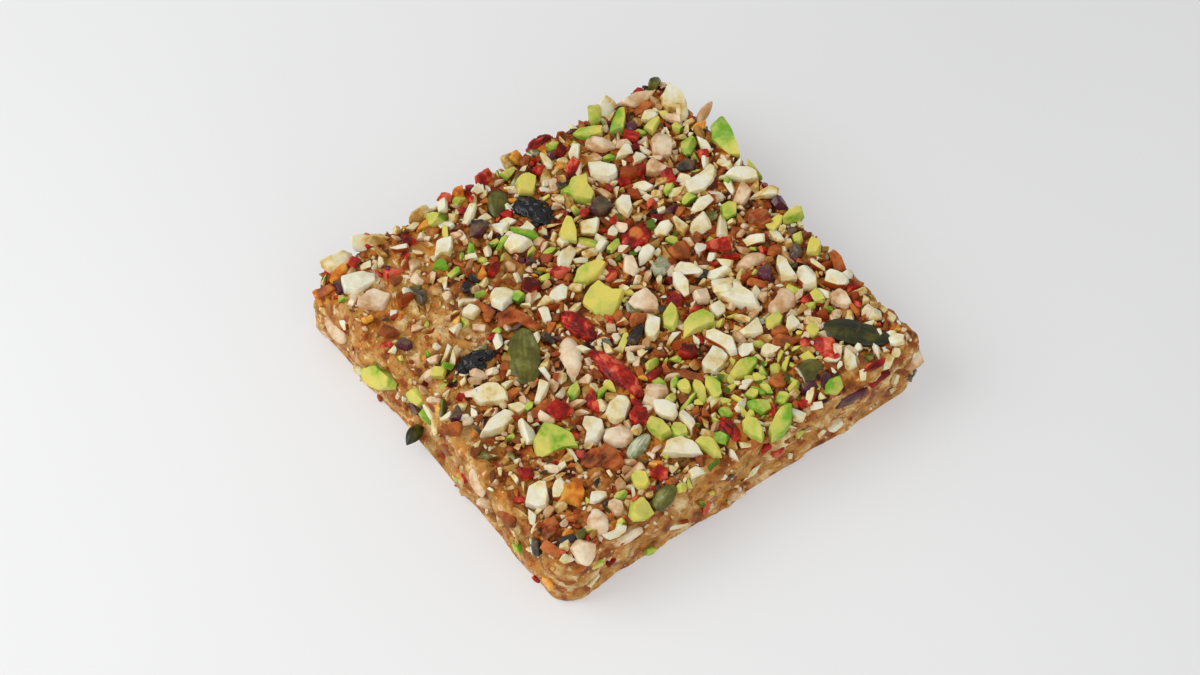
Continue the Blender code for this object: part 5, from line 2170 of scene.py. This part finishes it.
@dataclass(frozen=True)
class Studio:
    """A pale floor, soft light mainly from beyond the left corner, and the camera."""

    lamps: tuple[Lamp, ...] = (
        Lamp("key", (-0.58, 0.35, 0.6), 0.7, 4.7),
        Lamp("fill", (-0.3, -0.85, 0.6), 0.9, 2.6),
    )
    sky: float = 0.54
    eye: tuple[float, float, float] = (-0.24835, -0.32780, 0.57178)
    target: tuple[float, float, float] = (-0.003355, 0.000302, 0.007004)
    lens: float = 106.64
    sensor: float = 36.0
    reach: float = 1.5
    tones: tuple[Colour, Colour] = ((180, 180, 180), (186, 186, 186))
    grain: float = 180.0
    glow: tuple[float, float] = (0.41, 0.27)
    glow_reach: float = 0.2
    dull: float = 0.75

    def build(self) -> None:
        """Sets up the floor, world, lamps, camera and plain colour handling."""
        self.floor()
        world = bpy.data.worlds.new("studio")
        world.use_nodes = True
        back = world.node_tree.nodes["Background"]
        back.inputs["Color"].default_value = (1.0, 1.0, 1.0, 1.0)
        back.inputs["Strength"].default_value = self.sky
        bpy.context.scene.world = world
        for lamp in self.lamps:
            lamp.build()
        view = bpy.data.cameras.new("camera")
        view.lens = self.lens
        view.sensor_width = self.sensor
        camera = bpy.data.objects.new("camera", view)
        camera.location = self.eye
        camera.rotation_euler = turned_to(self.eye, self.target)
        bpy.context.scene.collection.objects.link(camera)
        bpy.context.scene.camera = camera
        bpy.context.scene.view_settings.view_transform = "Standard"

    def floor(self) -> None:
        """A wide pale sheet, lit partly from within, so that the shade beside the bar stays soft and grey.

        Its own light falls off gently from left to right."""
        mesh = bpy.data.meshes.new("floor")
        corners = [(x * self.reach, y * self.reach, 0) for x, y in ((-1, -1), (1, -1), (1, 1), (-1, 1))]
        mesh.from_pydata(corners, [], [(0, 1, 2, 3)])
        g = Graph("floor")
        g.fill("Base Color", g.ramp(g.noise(self.grain, 2.0), tuple(zip((0.3, 0.7), self.tones))))
        g.fill("Emission Color", (1.0, 1.0, 1.0, 1.0))
        across = g.add("ShaderNodeSeparateXYZ", {"Vector": g.place}).outputs["X"]
        g.fill("Emission Strength", g.span(across, -self.glow_reach, self.glow_reach, *self.glow))
        g.fill("Roughness", self.dull)
        mesh.materials.append(g.material)
        floor = bpy.data.objects.new("floor", mesh)
        bpy.context.scene.collection.objects.link(floor)


def main() -> None:
    """Builds the bar and its studio."""
    form = SlabForm()
    bare = BareFields()
    toppings = [Topping(kind, form, i) for i, kind in enumerate(KINDS)]
    nests = {piece.node: Nest.of(piece.node) for kind in KINDS for piece in kind.named}
    named = np.array([nest.footprint() for nest in nests.values()])
    chips = [Bits.on_top(form, kind.chips).footprints() for kind in KINDS]
    slices = [topping.slice_bits().footprints() for topping in toppings if topping.kind.slices]
    taken = np.concatenate((named, *chips, *slices))
    crumbs = Crumbs(form, bare).scatter(taken)
    shares = np.stack([kind.weight(crumbs[:, :2]) for kind in KINDS], axis=1)
    beside = crumbs[:, 2] < form.size[2]
    shares[beside] *= np.array([kind.on_walls for kind in KINDS])
    weights = shares.cumsum(axis=1)
    draw = np.random.RandomState(CHOICE_SEED).uniform(size=len(crumbs)) * weights[:, -1]
    choice = (draw[:, None] > weights).sum(axis=1)
    log.info("%d crumbs", len(crumbs))
    Dough(form, DoughFinish(), bare).build(taken)
    for i, topping in enumerate(toppings):
        topping.build(nests, crumbs[choice == i])
    Studio().build()


if __name__ == "__main__":
    main()
